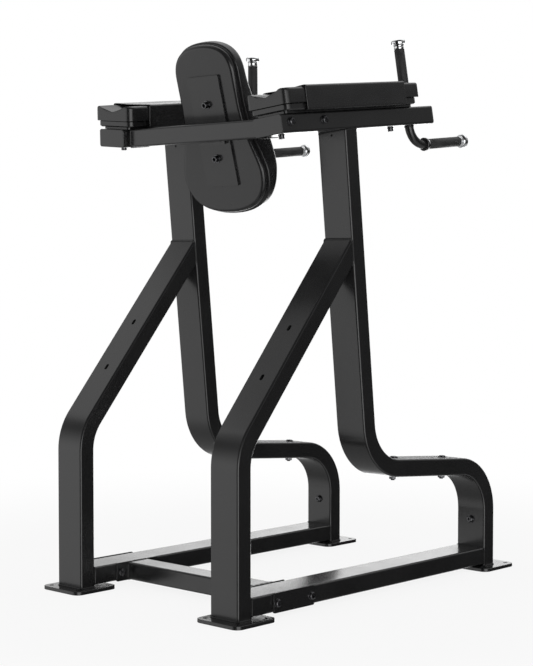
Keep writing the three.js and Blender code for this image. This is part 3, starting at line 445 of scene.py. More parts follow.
def cross_place(scene):
    """The middle of the top crossbar."""
    lean = scene.station_frame.lean
    arm = scene.station_arm
    point = move(0, arm.height * math.sin(lean), arm.height * math.cos(lean))
    offset = move(0, arm.cross_rear - scene.station_frame.cross_depth / 2, -arm.cross_drop)
    return point @ turn("X", -lean) @ offset


def backrest_place(scene):
    """The back of the backrest's board, level with the crossbar's upper front edge."""
    frame_sizes = scene.station_frame
    back = scene.station_backrest
    edge = cross_place(scene) @ Vector((0, -frame_sizes.cross_depth / 2, frame_sizes.cross_height / 2))
    setback = move(0, -back.plate_thickness - 2 * frame_sizes.gap, 0)
    return Matrix.Translation(edge) @ turn("X", -back.lean) @ setback


def side_face(sign, x, y, z):
    """The place of a plate that faces along X, away from the middle, with its length along Y."""
    return Matrix(((0, 0, sign, x), (1, 0, 0, y), (0, sign, 0, z))).to_4x4()


def rail_middle(sizes):
    """Height of the base rails' centreline."""
    return sizes.rail_gap + sizes.tube_depth / 2


def pad_seat(scene):
    """Height of the elbow cushion's underside over the arm's centreline."""
    pad, sizes = scene.station_pad, scene.station_frame
    return sizes.tube_depth / 2 + sizes.gap + pad.base_height + pad.board_height + sizes.gap


# Mesh tools


def build_object(name, points, faces, smooth_degrees=SHARP):
    """A mesh object with smooth faces and sharp edges above an angle."""
    mesh = bpy.data.meshes.new(name)
    mesh.from_pydata([tuple(p) for p in points], [], faces)
    mesh.validate()
    mesh.update()
    return add_object(name, mesh, smooth_degrees)


def add_object(name, mesh, smooth_degrees=SHARP):
    """Puts a mesh into the scene as an object."""
    obj = bpy.data.objects.new(name, mesh)
    bpy.context.scene.collection.objects.link(obj)
    soften(obj, smooth_degrees)
    return obj


def soften(obj, degrees=SHARP):
    """Smooth shading that keeps edges over the angle sharp."""
    obj.data.shade_smooth()
    obj.data.set_sharp_from_angle(angle=math.radians(degrees))


def weigh_normals(obj):
    """Keeps large flat faces flat beside rounded edges."""
    modifier = obj.modifiers.new("Flat faces", "WEIGHTED_NORMAL")
    modifier.keep_sharp = True
    modifier.weight = FLAT_FACE_WEIGHT
    return obj


def bake(obj):
    """Writes the object's modifiers into its mesh."""
    graph = bpy.context.evaluated_depsgraph_get()
    mesh = bpy.data.meshes.new_from_object(obj.evaluated_get(graph))
    obj.modifiers.clear()
    obj.data = mesh
    return obj


def delete(*objects):
    """Removes objects with their meshes."""
    for obj in objects:
        mesh = obj.data
        bpy.data.objects.remove(obj)
        if mesh.users == 0:
            bpy.data.meshes.remove(mesh)


def cut_with(obj, operation, cutters):
    """Cuts an object with others, which are then deleted."""
    for cutter in cutters:
        modifier = obj.modifiers.new("Cut", "BOOLEAN")
        modifier.operation = operation
        modifier.solver = "EXACT"
        modifier.object = cutter
    bake(obj)
    delete(*cutters)
    return obj


def carve(obj, cutters):
    """Cuts holes or slots into an object."""
    soften(cut_with(obj, "DIFFERENCE", cutters))


def join(name, objects):
    """One object from several, with their meshes side by side."""
    build = bmesh.new()
    for obj in objects:
        build.from_mesh(obj.data)
    mesh = bpy.data.meshes.new(name)
    build.to_mesh(mesh)
    build.free()
    delete(*objects)
    return add_object(name, mesh)


def set_down(obj, matrix):
    """Moves the mesh itself, so that the object stays at the origin."""
    obj.data.transform(matrix)
    obj.data.update()
    return obj


def finish_piece(obj, finish, *nodes):
    """Gives a piece its material, its body and the solids that it stands for."""
    obj.data.materials.clear()
    obj.data.materials.append(material(finish))
    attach(obj, "root")
    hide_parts(*nodes)
    return obj


def finish_flat(obj, finish, node, place):
    """Sets a piece with large flat faces down and finishes it."""
    weigh_normals(set_down(obj, place))
    return finish_piece(obj, finish, node)


def finish_steel(obj, node, place=Matrix()):
    """Sets a coated steel piece down and finishes it."""
    return finish_flat(obj, "powder_coat", node, place)


def even(start, end, count):
    """Even places from start to end, both included."""
    return [start + (end - start) * k / count for k in range(count + 1)]


def arc(steps, first=0):
    """Sine and cosine at even steps through a quarter turn."""
    turns = [QUARTER * k / steps for k in range(first, steps + 1)]
    return [(math.sin(a), math.cos(a)) for a in turns]


def mirrored(points):
    """The other half of an outline whose ends lie on the middle line."""
    return [(-x, z) for x, z in reversed(points[1:-1])]


def skin(name, rings):
    """A skin over a row of rings with the same number of points, closed at both ends."""
    count = len(rings[0])
    faces = []
    for s in range(len(rings) - 1):
        for k in range(count):
            a, b = s * count + k, s * count + (k + 1) % count
            faces.append((a, b, b + count, a + count))
    last = (len(rings) - 1) * count
    faces.append(tuple(reversed(range(count))))
    faces.append(tuple(range(last, last + count)))
    return build_object(name, [p for ring in rings for p in ring], faces)


def rounded_rectangle(width, height, corner, steps=6):
    """Counter-clockwise points of a rectangle with round corners."""
    points = []
    for x, y, start in ((1, -1, -90), (1, 1, 0), (-1, 1, 90), (-1, -1, 180)):
        across, up = x * (width / 2 - corner), y * (height / 2 - corner)
        for k in range(steps + 1):
            a = math.radians(start + 90 * k / steps)
            points.append((across + corner * math.cos(a), up + corner * math.sin(a)))
    return points


def circle(radius, count=32):
    """Counter-clockwise points of a circle."""
    turns = [math.tau * k / count for k in range(count)]
    return [(radius * math.cos(a), radius * math.sin(a)) for a in turns]


def plate(name, width, height, thickness, corner, edge=PLATE_EDGE):
    """A flat plate along +Z with rounded corners and softened edges."""
    rings = []
    for sine, cosine in arc(3):
        inset = edge * (1 - sine)
        round_corner = max(corner - inset, SMALLEST_CORNER)
        outline = rounded_rectangle(width - 2 * inset, height - 2 * inset, round_corner)
        rings.append([Vector((x, y, edge * (1 - cosine))) for x, y in outline])
    rings += [[Vector((p.x, p.y, thickness - p.z)) for p in ring] for ring in reversed(rings)]
    return skin(name, rings)


def lathe(name, profile, count=40, smooth_degrees=SHARP):
    """A turned piece about +Z from (radius, z) pairs, which start and end on the axis or at a bore."""
    points, rows, faces = [], [], []
    for radius, z in profile:
        if radius == 0:
            rows.append([len(points)] * count)
            points.append((0, 0, z))
            continue
        rows.append(list(range(len(points), len(points) + count)))
        points += [(x, y, z) for x, y in circle(radius, count)]
    for low, high in zip(rows, rows[1:]):
        for k in range(count):
            n = (k + 1) % count
            corners = list(dict.fromkeys((low[k], low[n], high[n], high[k])))
            if len(corners) > 2:
                faces.append(corners)
    return build_object(name, points, faces, smooth_degrees)


def rod(name, radius, start, end, count=24):
    """A round rod between two points."""
    axis = Vector(end) - Vector(start)
    obj = skin(name, [[Vector((x, y, z)) for x, y in circle(radius, count)] for z in (0, axis.length)])
    return set_down(obj, Matrix.Translation(start) @ axis.to_track_quat("Z", "Y").to_matrix().to_4x4())


def bent_path(corners, radius, step=4.0):
    """Stations (point, direction) in the plane x = 0 along straight runs and round bends.

    The step is the most that a bend turns between two stations, in degrees.
    """
    points = [Vector((0, y, z)) for y, z in corners]
    stations = [(points[0], (points[1] - points[0]).normalized())]
    for before, here, after in zip(points, points[1:], points[2:]):
        arriving = (here - before).normalized()
        leaving = (after - here).normalized()
        bend = arriving.angle(leaving)
        axis = arriving.cross(leaving).normalized()
        start = here - arriving * radius * math.tan(bend / 2)
        centre = start + axis.cross(arriving) * radius
        count = max(2, math.ceil(math.degrees(bend) / step))
        for k in range(count + 1):
            rotation = Matrix.Rotation(bend * k / count, 3, axis)
            stations.append((centre + rotation @ (start - centre), rotation @ arriving))
    stations.append((points[-1], (points[-1] - points[-2]).normalized()))
    return stations


def sweep_rings(section, stations):
    """Rings of a section (across, in the plane) along stations."""
    rings = []
    for point, direction in stations:
        inward = Vector((0, -direction.z, direction.y))
        rings.append([point + Vector((x, 0, 0)) + inward * y for x, y in section])
    return rings


def cut_ring(ring, direction, plane_point, plane_normal):
    """Slides a ring's points along a direction onto a plane."""
    scale = direction.dot(plane_normal)
    return [p + direction * ((plane_point - p).dot(plane_normal) / scale) for p in ring]


def straight_tube(name, section, start, end, height):
    """A tube along Y between two places, at a height."""
    return skin(name, [[Vector((x, at, height + z)) for x, z in section] for at in (end, start)])


def weld_bead(kind, loop, sign):
    """A weld along a closed loop of points, with the ripples of its passes."""
    weld = WELDS[kind]
    step, pass_turn, pass_share, grain, grain_share = 0.0022, 1.9, 0.13, 260, 0.1
    upright_limit = 0.2
    points = [Vector(p) for p in loop]
    dense = []
    for a, b in zip(points, points[1:] + points[:1]):
        count = max(1, round((b - a).length / step))
        dense += [a.lerp(b, k / count) for k in range(count)]
    total = len(dense)
    section = circle(1.0, 8)
    rings = []
    for k, point in enumerate(dense):
        direction = (dense[(k + 1) % total] - dense[k - 1]).normalized()
        side = direction.cross(Vector((0, 0, 1)))
        if side.length <= upright_limit:
            side = direction.cross(Vector((1, 0, 0)))
        side.normalize()
        up = side.cross(direction)
        ripple = 1 + pass_share * math.sin(k * pass_turn + weld.seed + sign)
        ripple += grain_share * noise.noise(point * grain)
        rings.append([point + (side * x + up * y) * weld.radius * ripple for x, y in section])
    count = len(section)
    faces = []
    for s in range(total):
        for k in range(count):
            n, m = (k + 1) % count, (s + 1) % total
            faces.append((s * count + k, s * count + n, m * count + n, m * count + k))
    return build_object("weld", [p for ring in rings for p in ring], faces)


# Nodes


class NodeBook:
    """Short calls for the nodes of a material or a world."""

    def __init__(self, owner, coordinates="Object"):
        owner.use_nodes = True
        self.owner = owner
        self.nodes, self.links = owner.node_tree.nodes, owner.node_tree.links
        self.place = self.nodes.new("ShaderNodeTexCoord").outputs[coordinates]

    def add(self, kind, inputs=None, **settings):
        """A node with its settings, and its inputs filled from sockets or values."""
        node = self.nodes.new(kind)
        for key, value in settings.items():
            setattr(node, key, value)
        for key, value in (inputs or {}).items():
            self.fill(node.inputs[key], value)
        return node

    def fill(self, socket, value):
        """Links a socket, or sets its value."""
        if isinstance(value, bpy.types.NodeSocket):
            self.links.new(value, socket)
        else:
            socket.default_value = value

    def math(self, operation, first, second=0.0):
        """A sum, a product or the like of two numbers."""
        return self.add("ShaderNodeMath", {0: first, 1: second}, operation=operation).outputs[0]

    def vector(self, operation, first, second=(0, 0, 0)):
        """The node for a sum, a product or the like of two vectors."""
        return self.add("ShaderNodeVectorMath", {0: first, 1: second}, operation=operation)

    def ramp(self, value, start, end, low, high, shape="LINEAR"):
        """Goes from low to high while the value goes from start to end."""
        inputs = {"Value": value, "From Min": start, "From Max": end, "To Min": low, "To Max": high}
        return self.add("ShaderNodeMapRange", inputs, interpolation_type=shape).outputs["Result"]

    def blend(self, factor, first, second):
        """A number between two others."""
        return self.add("ShaderNodeMix", {0: factor, 2: first, 3: second}).outputs[0]

    def mix(self, factor, first, second):
        """A shader between two others."""
        return self.add("ShaderNodeMixShader", {0: factor, 1: first, 2: second}).outputs[0]


class FinishBook(NodeBook):
    """Short calls for a finish: a Principled shader with procedural colour, gloss and relief."""

    def __init__(self, name, sockets):
        super().__init__(bpy.data.materials.new(OWN_PREFIX + name))
        self.shader = self.nodes["Principled BSDF"]
        for key, value in sockets.items():
            self.shader.inputs[key].default_value = value

    def noise(self, scale, detail=3.0, roughness=0.5):
        """Soft noise over the piece, as many per metre as the scale says."""
        inputs = {"Vector": self.place, "Scale": scale, "Detail": detail, "Roughness": roughness}
        return self.add("ShaderNodeTexNoise", inputs).outputs["Fac"]

    def cells(self, scale):
        """Distance from the middle of small cells."""
        return self.add("ShaderNodeTexVoronoi", {"Vector": self.place, "Scale": scale}).outputs["Distance"]

    def tint(self, pattern, colour_value, dark, light, start=0.3, end=0.7):
        """The base colour, between a darker and a lighter share of a colour."""
        first, second = [(*(c * share for c in colour_value), 1) for share in (dark, light)]
        inputs = {"Factor": self.ramp(pattern, start, end, 0, 1), 6: first, 7: second}
        node = self.add("ShaderNodeMix", inputs, data_type="RGBA")
        self.fill(self.shader.inputs["Base Color"], node.outputs[2])

    def gloss(self, pattern, roughness, less, more, start=0.3, end=0.7):
        """The roughness, from a little less to a little more."""
        value = self.ramp(pattern, start, end, roughness - less, roughness + more)
        self.fill(self.shader.inputs["Roughness"], value)

    def relief(self, *layers):
        """The surface's relief, from layers of pattern, strength and depth, the lowest one first."""
        normal = None
        for pattern, strength, depth in layers:
            inputs = {"Height": pattern, "Strength": strength, "Distance": depth}
            if normal is not None:
                inputs["Normal"] = normal
            normal = self.add("ShaderNodeBump", inputs).outputs["Normal"]
        self.fill(self.shader.inputs["Normal"], normal)
        return self.owner


# Materials


OWN_PREFIX = "station_"
Finish = namedtuple("Finish", "make slot")


def coat_material(colours):
    """Satin powder coat: fine orange peel and a faintly uneven sheen."""
    book = FinishBook("powder_coat", {"IOR": 1.6})
    blotch = book.noise(7.0, 4.0, 0.55)
    peel = book.noise(900.0, 2.0)
    book.tint(blotch, colours.coat, 0.9, 1.12)
    book.gloss(book.math("ADD", blotch, peel), colours.coat_roughness, 0.05, 0.06, 0.6, 1.4)
    return book.relief((peel, 0.1, 0.00012), (book.cells(1500.0), 0.05, 0.0001))


def vinyl_material(colours):
    """Upholstery vinyl: pebbled grain over soft unevenness."""
    book = FinishBook("vinyl", {"IOR": 1.58, "Sheen Weight": 0.02})
    creases = book.noise(420.0, 5.0, 0.6)
    book.tint(book.noise(11.0), colours.vinyl, 0.88, 1.15)
    book.gloss(creases, colours.vinyl_roughness, 0.06, 0.08)
    return book.relief((creases, 0.1, 0.0003), (book.cells(950.0), 0.12, 0.00025))


def shell_material(colours):
    """Moulded boards: fine spark-eroded texture."""
    book = FinishBook("moulded_shell", {"IOR": 1.58})
    texture = book.noise(1300.0, 2.0)
    book.tint(book.noise(9.0), colours.shell, 0.9, 1.12)
    book.gloss(texture, colours.shell_roughness, 0.05, 0.07)
    return book.relief((texture, 0.08, 0.00015))


def rubber_material(colours):
    """Grip rubber: fine open cells and slight dust."""
    book = FinishBook("grip_rubber", {})
    speck = book.noise(1100.0)
    book.tint(book.noise(35.0), colours.rubber, 0.85, 1.25)
    book.gloss(speck, colours.rubber_roughness, 0.08, 0.1)
    return book.relief((book.cells(700.0), 0.35, 0.0008), (speck, 0.2, 0.0004))


def chrome_material(colours):
    """Bright chrome with a trace of polishing marks."""
    book = FinishBook("chrome", {"Metallic": 1.0})
    marks = book.noise(260.0, 4.0)
    book.tint(book.noise(60.0, 2.0), colours.chrome, 0.96, 1.0)
    book.gloss(marks, colours.chrome_roughness, 0.02, 0.05)
    return book.relief((marks, 0.02, 0.0003))


def steel_material(colours):
    """Black oxide on the bolts, brighter where tools have rubbed."""
    book = FinishBook("black_steel", {"Metallic": 0.9})
    fine = book.noise(1600.0, 2.0)
    book.tint(book.noise(240.0, 4.0, 0.6), colours.steel, 0.8, 1.9, 0.45, 0.75)
    book.gloss(fine, colours.steel_roughness, 0.06, 0.1)
    return book.relief((fine, 0.15, 0.0003))


FINISHES = {
    "powder_coat": Finish(coat_material, "powder_coat"),
    "vinyl": Finish(vinyl_material, "vinyl"),
    "moulded_shell": Finish(shell_material, "plastic"),
    "grip_rubber": Finish(rubber_material, "grip_rubber"),
    "chrome": Finish(chrome_material, "chrome"),
    "black_steel": Finish(steel_material, "fastener"),
}


def material(name):
    """The named finish's material, made on first use."""
    ready = bpy.data.materials.get(OWN_PREFIX + name)
    return ready or FINISHES[name].make(bpy.context.scene.station_colour)


# Frame


def tube_section(sizes):
    """The main tube's section."""
    return rounded_rectangle(sizes.tube_width, sizes.tube_depth, sizes.tube_corner)


def foot_weld(sizes, kind, leg_y, sign):
    """The weld of a leg to its foot plate."""
    height = sizes.foot_thickness + sizes.gap + WELDS[kind].off
    return weld_bead(kind, [(x, leg_y + y, height) for x, y in tube_section(sizes)], sign)


def make_front_post(scene, name, sign):
    """Front leg, step and upright in one bent tube, cut off under the arm, with its vent hole."""
    sizes = scene.station_frame
    half = sizes.tube_depth / 2
    slope = math.tan(sizes.step_slope)
    lean = math.tan(sizes.lean)
    meet = (sizes.step_height - slope * sizes.front_leg_y) / (1 - slope * lean)
    end = scene.station_arm.height
    corners = [
        (sizes.front_leg_y, sizes.foot_thickness + sizes.gap),
        (sizes.front_leg_y, sizes.step_height),
        (meet * lean, meet),
        (end * math.sin(sizes.lean), end * math.cos(sizes.lean)),
    ]
    stations = bent_path(corners, sizes.bend)
    rings = sweep_rings(tube_section(sizes), stations)
    arm = side_place(scene, sign).inverted() @ arm_place(scene, sign)
    underside = arm @ Vector((0, 0, -half - sizes.gap))
    rings[-1] = cut_ring(rings[-1], stations[-1][1], underside, arm.to_3x3() @ Vector((0, 0, 1)))
    post = skin("front_post", rings)
    upright = upright_place(scene)
    vent_at = upright @ Vector((0, half, end - half - sizes.vent_drop))
    rear = upright.to_3x3() @ Vector((0, 1, 0))
    vent_deep, vent_out = 0.015, 0.005
    vent = rod("vent", sizes.vent_radius, vent_at - rear * vent_deep, vent_at + rear * vent_out, 20)
    carve(post, [vent])
    down = (rings[-2][0] - rings[-1][0]).normalized()
    top = weld_bead("upright", [p + down * WELDS["upright"].off for p in rings[-1]], sign)
    foot = foot_weld(sizes, "foot_front", sizes.front_leg_y, sign)
    obj = join("front_post_" + name, [post, top, foot])
    finish_steel(obj, "front_post_" + name, side_place(scene, sign))


def make_rear_leg(scene, name, sign):
    """Brace and leg in one bent tube, cut off at the upright, with the stub that takes the rail."""
    sizes = scene.station_frame
    half = sizes.tube_depth / 2
    slope = math.tan(sizes.brace_angle)
    lean = math.tan(sizes.lean)
    meet = (sizes.rear_leg_y + slope * sizes.brace_height) / (lean + slope)
    corners = [
        (sizes.rear_leg_y, sizes.foot_thickness + sizes.gap),
        (sizes.rear_leg_y, sizes.brace_height),
        (meet * lean, meet),
    ]
    section = tube_section(sizes)
    stations = bent_path(corners, sizes.bend)
    rings = sweep_rings(section, stations)
    upright = upright_place(scene)
    rear = upright.to_3x3() @ Vector((0, 1, 0))
    face = upright @ Vector((0, half + sizes.gap, meet))
    rings[-1] = cut_ring(rings[-1], stations[-1][1], face, rear)
    leg = skin("rear_leg", rings)
    brace = move(0, sizes.rear_leg_y, sizes.brace_height) @ turn("X", sizes.brace_angle)
    slot_out, slot_deep = 0.004, 0.016
    slot_width = 2 * sizes.slot_radius
    outline = rounded_rectangle(slot_width, slot_width + sizes.slot_length, sizes.slot_radius, 8)
    depths = (half + slot_out, half - slot_deep)
    cutters = []
    for k in range(2):
        slot = skin("slot", [[Vector((x, y, z)) for x, z in outline] for y in depths])
        along = sizes.slot_first + k * sizes.slot_spacing
        cutters.append(set_down(slot, brace @ move(0, 0, along)))
    carve(leg, cutters)
    height = rail_middle(sizes)
    leg_front, into_leg = sizes.rear_leg_y - half, 0.002
    stub = straight_tube("stub", section, sizes.joint_y + sizes.gap / 2, leg_front + into_leg, height)
    stub_loop = [(x, leg_front - WELDS["stub"].off, height + z) for x, z in section]
    parts = [
        leg,
        stub,
        weld_bead("brace", [p + rear * WELDS["brace"].off for p in rings[-1]], sign),
        weld_bead("stub", stub_loop, sign),
        foot_weld(sizes, "foot_rear", sizes.rear_leg_y, sign),
    ]
    obj = join("rear_leg_" + name, parts)
    finish_steel(obj, "rear_leg_" + name, side_place(scene, sign))


def make_rail(scene, name, sign):
    """The base rail, from the front leg to the rear leg's stub."""
    sizes = scene.station_frame
    height = rail_middle(sizes)
    start = sizes.front_leg_y + sizes.tube_depth / 2 + sizes.gap
    section = tube_section(sizes)
    rail = straight_tube("rail", section, start, sizes.joint_y - sizes.gap / 2, height)
    bead = weld_bead("rail", [(x, start + WELDS["rail"].off, height + z) for x, z in section], sign)
    obj = join("base_rail_" + name, [rail, bead])
    finish_steel(obj, "base_rail_" + name, side_place(scene, sign))


def joint_plate(sizes, name):
    """A plate of the base joint."""
    return plate(name, sizes.joint_length, sizes.joint_height, sizes.joint_thickness, sizes.joint_corner)


def make_splice_plate(scene, name, sign):
    """The outer plate over the joint of rail and stub."""
    sizes = scene.station_frame
    obj = joint_plate(sizes, "splice_plate_" + name)
    radius = scene.station_bolt.shank + HOLE_ROOM
    half_spacing = sizes.joint_spacing / 2
    ends = (-sizes.joint_thickness, 3 * sizes.joint_thickness)
    carve(obj, [rod("hole", radius, *((x, 0, z) for z in ends)) for x in (-half_spacing, half_spacing)])
    out = sign * (sizes.tube_width / 2 + sizes.gap)
    face = side_face(sign, out, sizes.joint_y, rail_middle(sizes))
    finish_steel(obj, "splice_plate_" + name, side_place(scene, sign) @ face)


def make_foot_plate(scene, name, sign, leg_y):
    """A foot plate under a leg, with its four anchor holes."""
    sizes = scene.station_frame
    thick = sizes.foot_thickness
    obj = plate(name, sizes.foot_width, sizes.foot_length, thick, sizes.foot_corner, FOOT_EDGE)
    x = sizes.foot_width / 2 - sizes.foot_hole_inset
    y = sizes.foot_length / 2 - sizes.foot_hole_inset
    places = [(i * x, j * y) for i in (-1, 1) for j in (-1, 1)]
    carve(obj, [rod("hole", sizes.foot_hole, (*at, -thick), (*at, 3 * thick), 32) for at in places])
    shift = move(sign * sizes.foot_shift_x, leg_y - sizes.foot_shift_y, 0)
    finish_steel(obj, name, side_place(scene, sign) @ shift)


def make_base_crossbar(scene):
    """The rear crossbar of the base, with a welded plate at both of its ends."""
    sizes = scene.station_frame
    inner = sizes.spacing / 2 - sizes.tube_width / 2 - sizes.gap - sizes.joint_thickness
    middle = Vector((0, sizes.joint_y, rail_middle(sizes)))
    section = rounded_rectangle(sizes.cross_depth, sizes.cross_height, sizes.tube_corner)
    parts = [skin("bar", [[middle + Vector((x, y, z)) for y, z in section] for x in (-inner, inner)])]
    for _, sign in SIDES:
        end = joint_plate(sizes, "end")
        parts.append(set_down(end, side_face(sign, sign * inner, middle.y, middle.z)))
        x = sign * (inner - WELDS["base_crossbar"].off)
        parts.append(weld_bead("base_crossbar", [middle + Vector((x, y, z)) for y, z in section], sign))
    finish_steel(join("base_crossbar", parts), "base_crossbar")


# Arms


def make_arm(scene, name, sign):
    """An arm: a straight tube with softened rear edges, and the cap in its front end."""
    sizes = scene.station_frame
    arm = scene.station_arm
    place = arm_place(scene, sign)
    rings = [[Vector((x, -arm.front, z)) for x, z in tube_section(sizes)]]
    for sine, cosine in arc(8):
        width = sizes.tube_width - 2 * arm.rear_corner * (1 - cosine)
        height = sizes.tube_depth - 2 * REAR_DRAW_IN * (1 - cosine)
        at = arm.rear - arm.rear_corner * (1 - sine)
        rings.append([Vector((x, at, z)) for x, z in rounded_rectangle(width, height, sizes.tube_corner)])
    finish_steel(skin("arm_" + name, rings[::-1]), "arm_" + name, place)
    node = "arm_cap_" + name
    cap = plate(node, sizes.tube_width, sizes.tube_depth, arm.cap, sizes.tube_corner, CAP_EDGE)
    seat = place @ move(0, -arm.front - sizes.gap, 0) @ turn("X", QUARTER)
    finish_flat(cap, "moulded_shell", node, seat)


def make_top_crossbar(scene):
    """The crossbar between the arms, with a welded plate at both of its ends."""
    sizes = scene.station_frame
    arm = scene.station_arm
    section = rounded_rectangle(sizes.cross_depth, sizes.cross_height, sizes.tube_corner)
    cross = cross_place(scene)
    across = Vector((1, 0, 0))
    inner = sizes.tube_width / 2 + sizes.gap + arm.plate_thickness
    rings, parts = [], []
    for _, sign in reversed(SIDES):
        place = arm_place(scene, sign)
        ring = [cross @ Vector((0, y, z)) for y, z in section]
        ring = cut_ring(ring, across, place @ Vector((-sign * inner, 0, 0)), place.to_3x3() @ across)
        rings.append(ring)
        loop = [p - across * sign * WELDS["top_crossbar"].off for p in ring]
        parts.append(weld_bead("top_crossbar", loop, sign))
        end = plate("end", arm.plate_length, arm.plate_height, arm.plate_thickness, arm.plate_corner)
        face = side_face(sign, -sign * inner, arm.cross_rear - arm.plate_length / 2, 0)
        parts.append(set_down(end, place @ face))
    parts.append(skin("bar", rings))
    finish_steel(join("top_crossbar", parts), "top_crossbar")


def make_backrest_mount(scene):
    """The backrest's plate, on a wedge welded to the top crossbar."""
    sizes = scene.station_frame
    back = scene.station_backrest
    place = backrest_place(scene)
    thick = back.plate_thickness
    mount = plate("mount", back.plate_width, back.plate_height, thick, back.plate_corner, MOUNT_EDGE)
    set_down(mount, place @ move(0, sizes.gap, -back.plate_drop) @ turn("X", QUARTER) @ move(0, 0, -thick))
    cross = place.inverted() @ cross_place(scene)
    rear = Vector((0, 1, 0))
    point = cross @ Vector((0, -sizes.cross_depth / 2 - sizes.gap, 0))
    half = back.bracket_width / 2
    top, bottom = -BRACKET_TOP, -back.bracket_drop
    corners = [(-half, top), (half, top), (half, bottom), (-half, bottom)]
    near = [Vector((x, thick / 2, z)) for x, z in corners]
    far = cut_ring(near, rear, point, cross.to_3x3() @ rear)
    wedge = set_down(skin("wedge", [far, near]), place)
    finish_steel(join("backrest_mount", [mount, wedge]), "backrest_mount")


# Upholstery


def inflate(obj, reach, hold):
    """Swells a closed cushion: an evenly meshed copy is blown up as cloth, and its soft shape is passed on.

    Points that hold() picks stay, and none moves past its reach.
    """
    scene = bpy.context.scene
    copy = obj.copy()
    copy.data = obj.data.copy()
    scene.collection.objects.link(copy)
    remesh = copy.modifiers.new("Remesh", "REMESH")
    remesh.mode = "VOXEL"
    remesh.voxel_size = CLOTH_VOXEL
    bake(copy)
    rest = [v.co.copy() for v in copy.data.vertices]
    group = copy.vertex_groups.new(name="held")
    group.add([i for i, co in enumerate(rest) if hold(co)], 1.0, "REPLACE")
    cloth = copy.modifiers.new("Cloth", "CLOTH")
    cloth.settings.vertex_group_mass = group.name
    for key, value in CLOTH_SETTINGS.items():
        setattr(cloth.settings, key, value)
    cloth.settings.effector_weights.gravity = 0.0
    cloth.collision_settings.use_collision = False
    cloth.point_cache.frame_start = 1
    cloth.point_cache.frame_end = CLOTH_FRAMES
    for step in range(1, CLOTH_FRAMES + 1):
        scene.frame_set(step)
    graph = bpy.context.evaluated_depsgraph_get()
    moved = [v.co.copy() for v in copy.evaluated_get(graph).data.vertices]
    copy.modifiers.clear()
    scene.frame_set(1)
    delete(copy)
    tree = kdtree.KDTree(len(rest))
    shifts = []
    for index, (start, end) in enumerate(zip(rest, moved)):
        tree.insert(start, index)
        shift = end - start
        shifts.append(shift * min(1.0, reach / max(shift.length, TINY)))
    tree.balance()
    for vertex in obj.data.vertices:
        total, weight = Vector(), 0.0
        for _, index, distance in tree.find_n(vertex.co, SHIFT_NEIGHBOURS):
            share = math.exp(-((distance / (SHIFT_SPREAD * CLOTH_VOXEL)) ** 2))
            total += shifts[index] * share
            weight += share
        vertex.co += total / max(weight, TINY)


def divide(obj):
    """Divides the surface once."""
    modifier = obj.modifiers.new("Divide", "SUBSURF")
    modifier.levels = modifier.render_levels = 1
    bake(obj)
    soften(obj, SOFT_SHARP)


def pad_section(pad, half, top):
    """Points round the elbow cushion's section, from the middle of its underside up one side and back."""
    wall_low, wall_high = PAD_FOOT, top - pad.edge
    left = [(x, 0.0) for x in even(0.0, 2 * PAD_FOOT - half, 5)]
    left += [(x - half, z) for x, z in PAD_LOWER_EDGE]
    left += [(-half, z) for z in even(wall_low, wall_high, 6)]
    left += [(-half + pad.edge * (1 - cosine), wall_high + pad.edge * sine) for sine, cosine in arc(6, 1)]
    ridge = min(pad.groove_half - PAD_SLACK, half - pad.edge - RIDGE_LAND)
    left.append((-ridge - RIDGE_SOFT, top))
    for x in even(ridge - GROOVE_START, GROOVE_END, 10) + [STITCH_HALF, 0.0]:
        fall = pad.groove * (1 - x / pad.groove_half)
        left.append((-x, top - fall + STITCH_RISE * max(0.0, 1 - x / STITCH_HALF)))
    return left + mirrored(left)


def end_stations(corner):
    """Places of the rings near an end of the elbow cushion, closer together at its round edge."""
    places = [corner * (1 - sine) for sine, _ in arc(8, 1)]
    places += [share * PAD_END_EDGE for share in PAD_END_RINGS]
    return sorted({round(v, 6) for v in places})


def rounding(radius, edge):
    """How far a round edge of this radius has drawn in, at a distance from the end."""
    share = min(1.0, edge / radius)
    return radius * (1 - math.sqrt(1 - (1 - share) ** 2))


def make_elbow_cushion(scene, name, sign):
    """A cushion with a V groove along its top, sewn down in the groove, with close end faces."""
    pad = scene.station_pad
    total = pad.rear + pad.front
    straight = total - pad.corner - pad.front_corner
    places = end_stations(pad.front_corner)
    places += even(pad.front_corner, total - pad.corner, round(straight / PAD_RING_STEP))
    places += [total - v for v in reversed(end_stations(pad.corner))]
    rings = []
    for at in places:
        edge = min(at, total - at)
        corner = pad.front_corner if at < total / 2 else pad.corner
        half = pad.half - PAD_SLACK - rounding(corner, edge)
        top = pad.height - PAD_SLACK - rounding(PAD_END_EDGE, edge)
        swell = 1 + pad.crown * math.sin(math.pi * at / total) / pad.height
        rings.append([Vector((x, at - pad.front, z * swell)) for x, z in pad_section(pad, half, top)])
    low = pad.height * PAD_END_MIDDLE
    front, rear = (
        [[Vector((p.x * s, p.y, low + (p.z - low) * s)) for p in rim] for s in PAD_END_SHARES]
        for rim in (rings[0], rings[-1])
    )
    obj = skin("elbow_pad_cushion_" + name, front[::-1] + rings + rear)
    inflate(obj, PAD_SWELL, lambda co: co.z < PAD_HELD_HEIGHT or abs(co.x) < PAD_HELD_GROOVE)
    soften(obj, ROUND_SHARP)
    seat = arm_place(scene, sign) @ move(0, 0, pad_seat(scene))
    finish_flat(obj, "vinyl", "elbow_pad_cushion_" + name, seat)


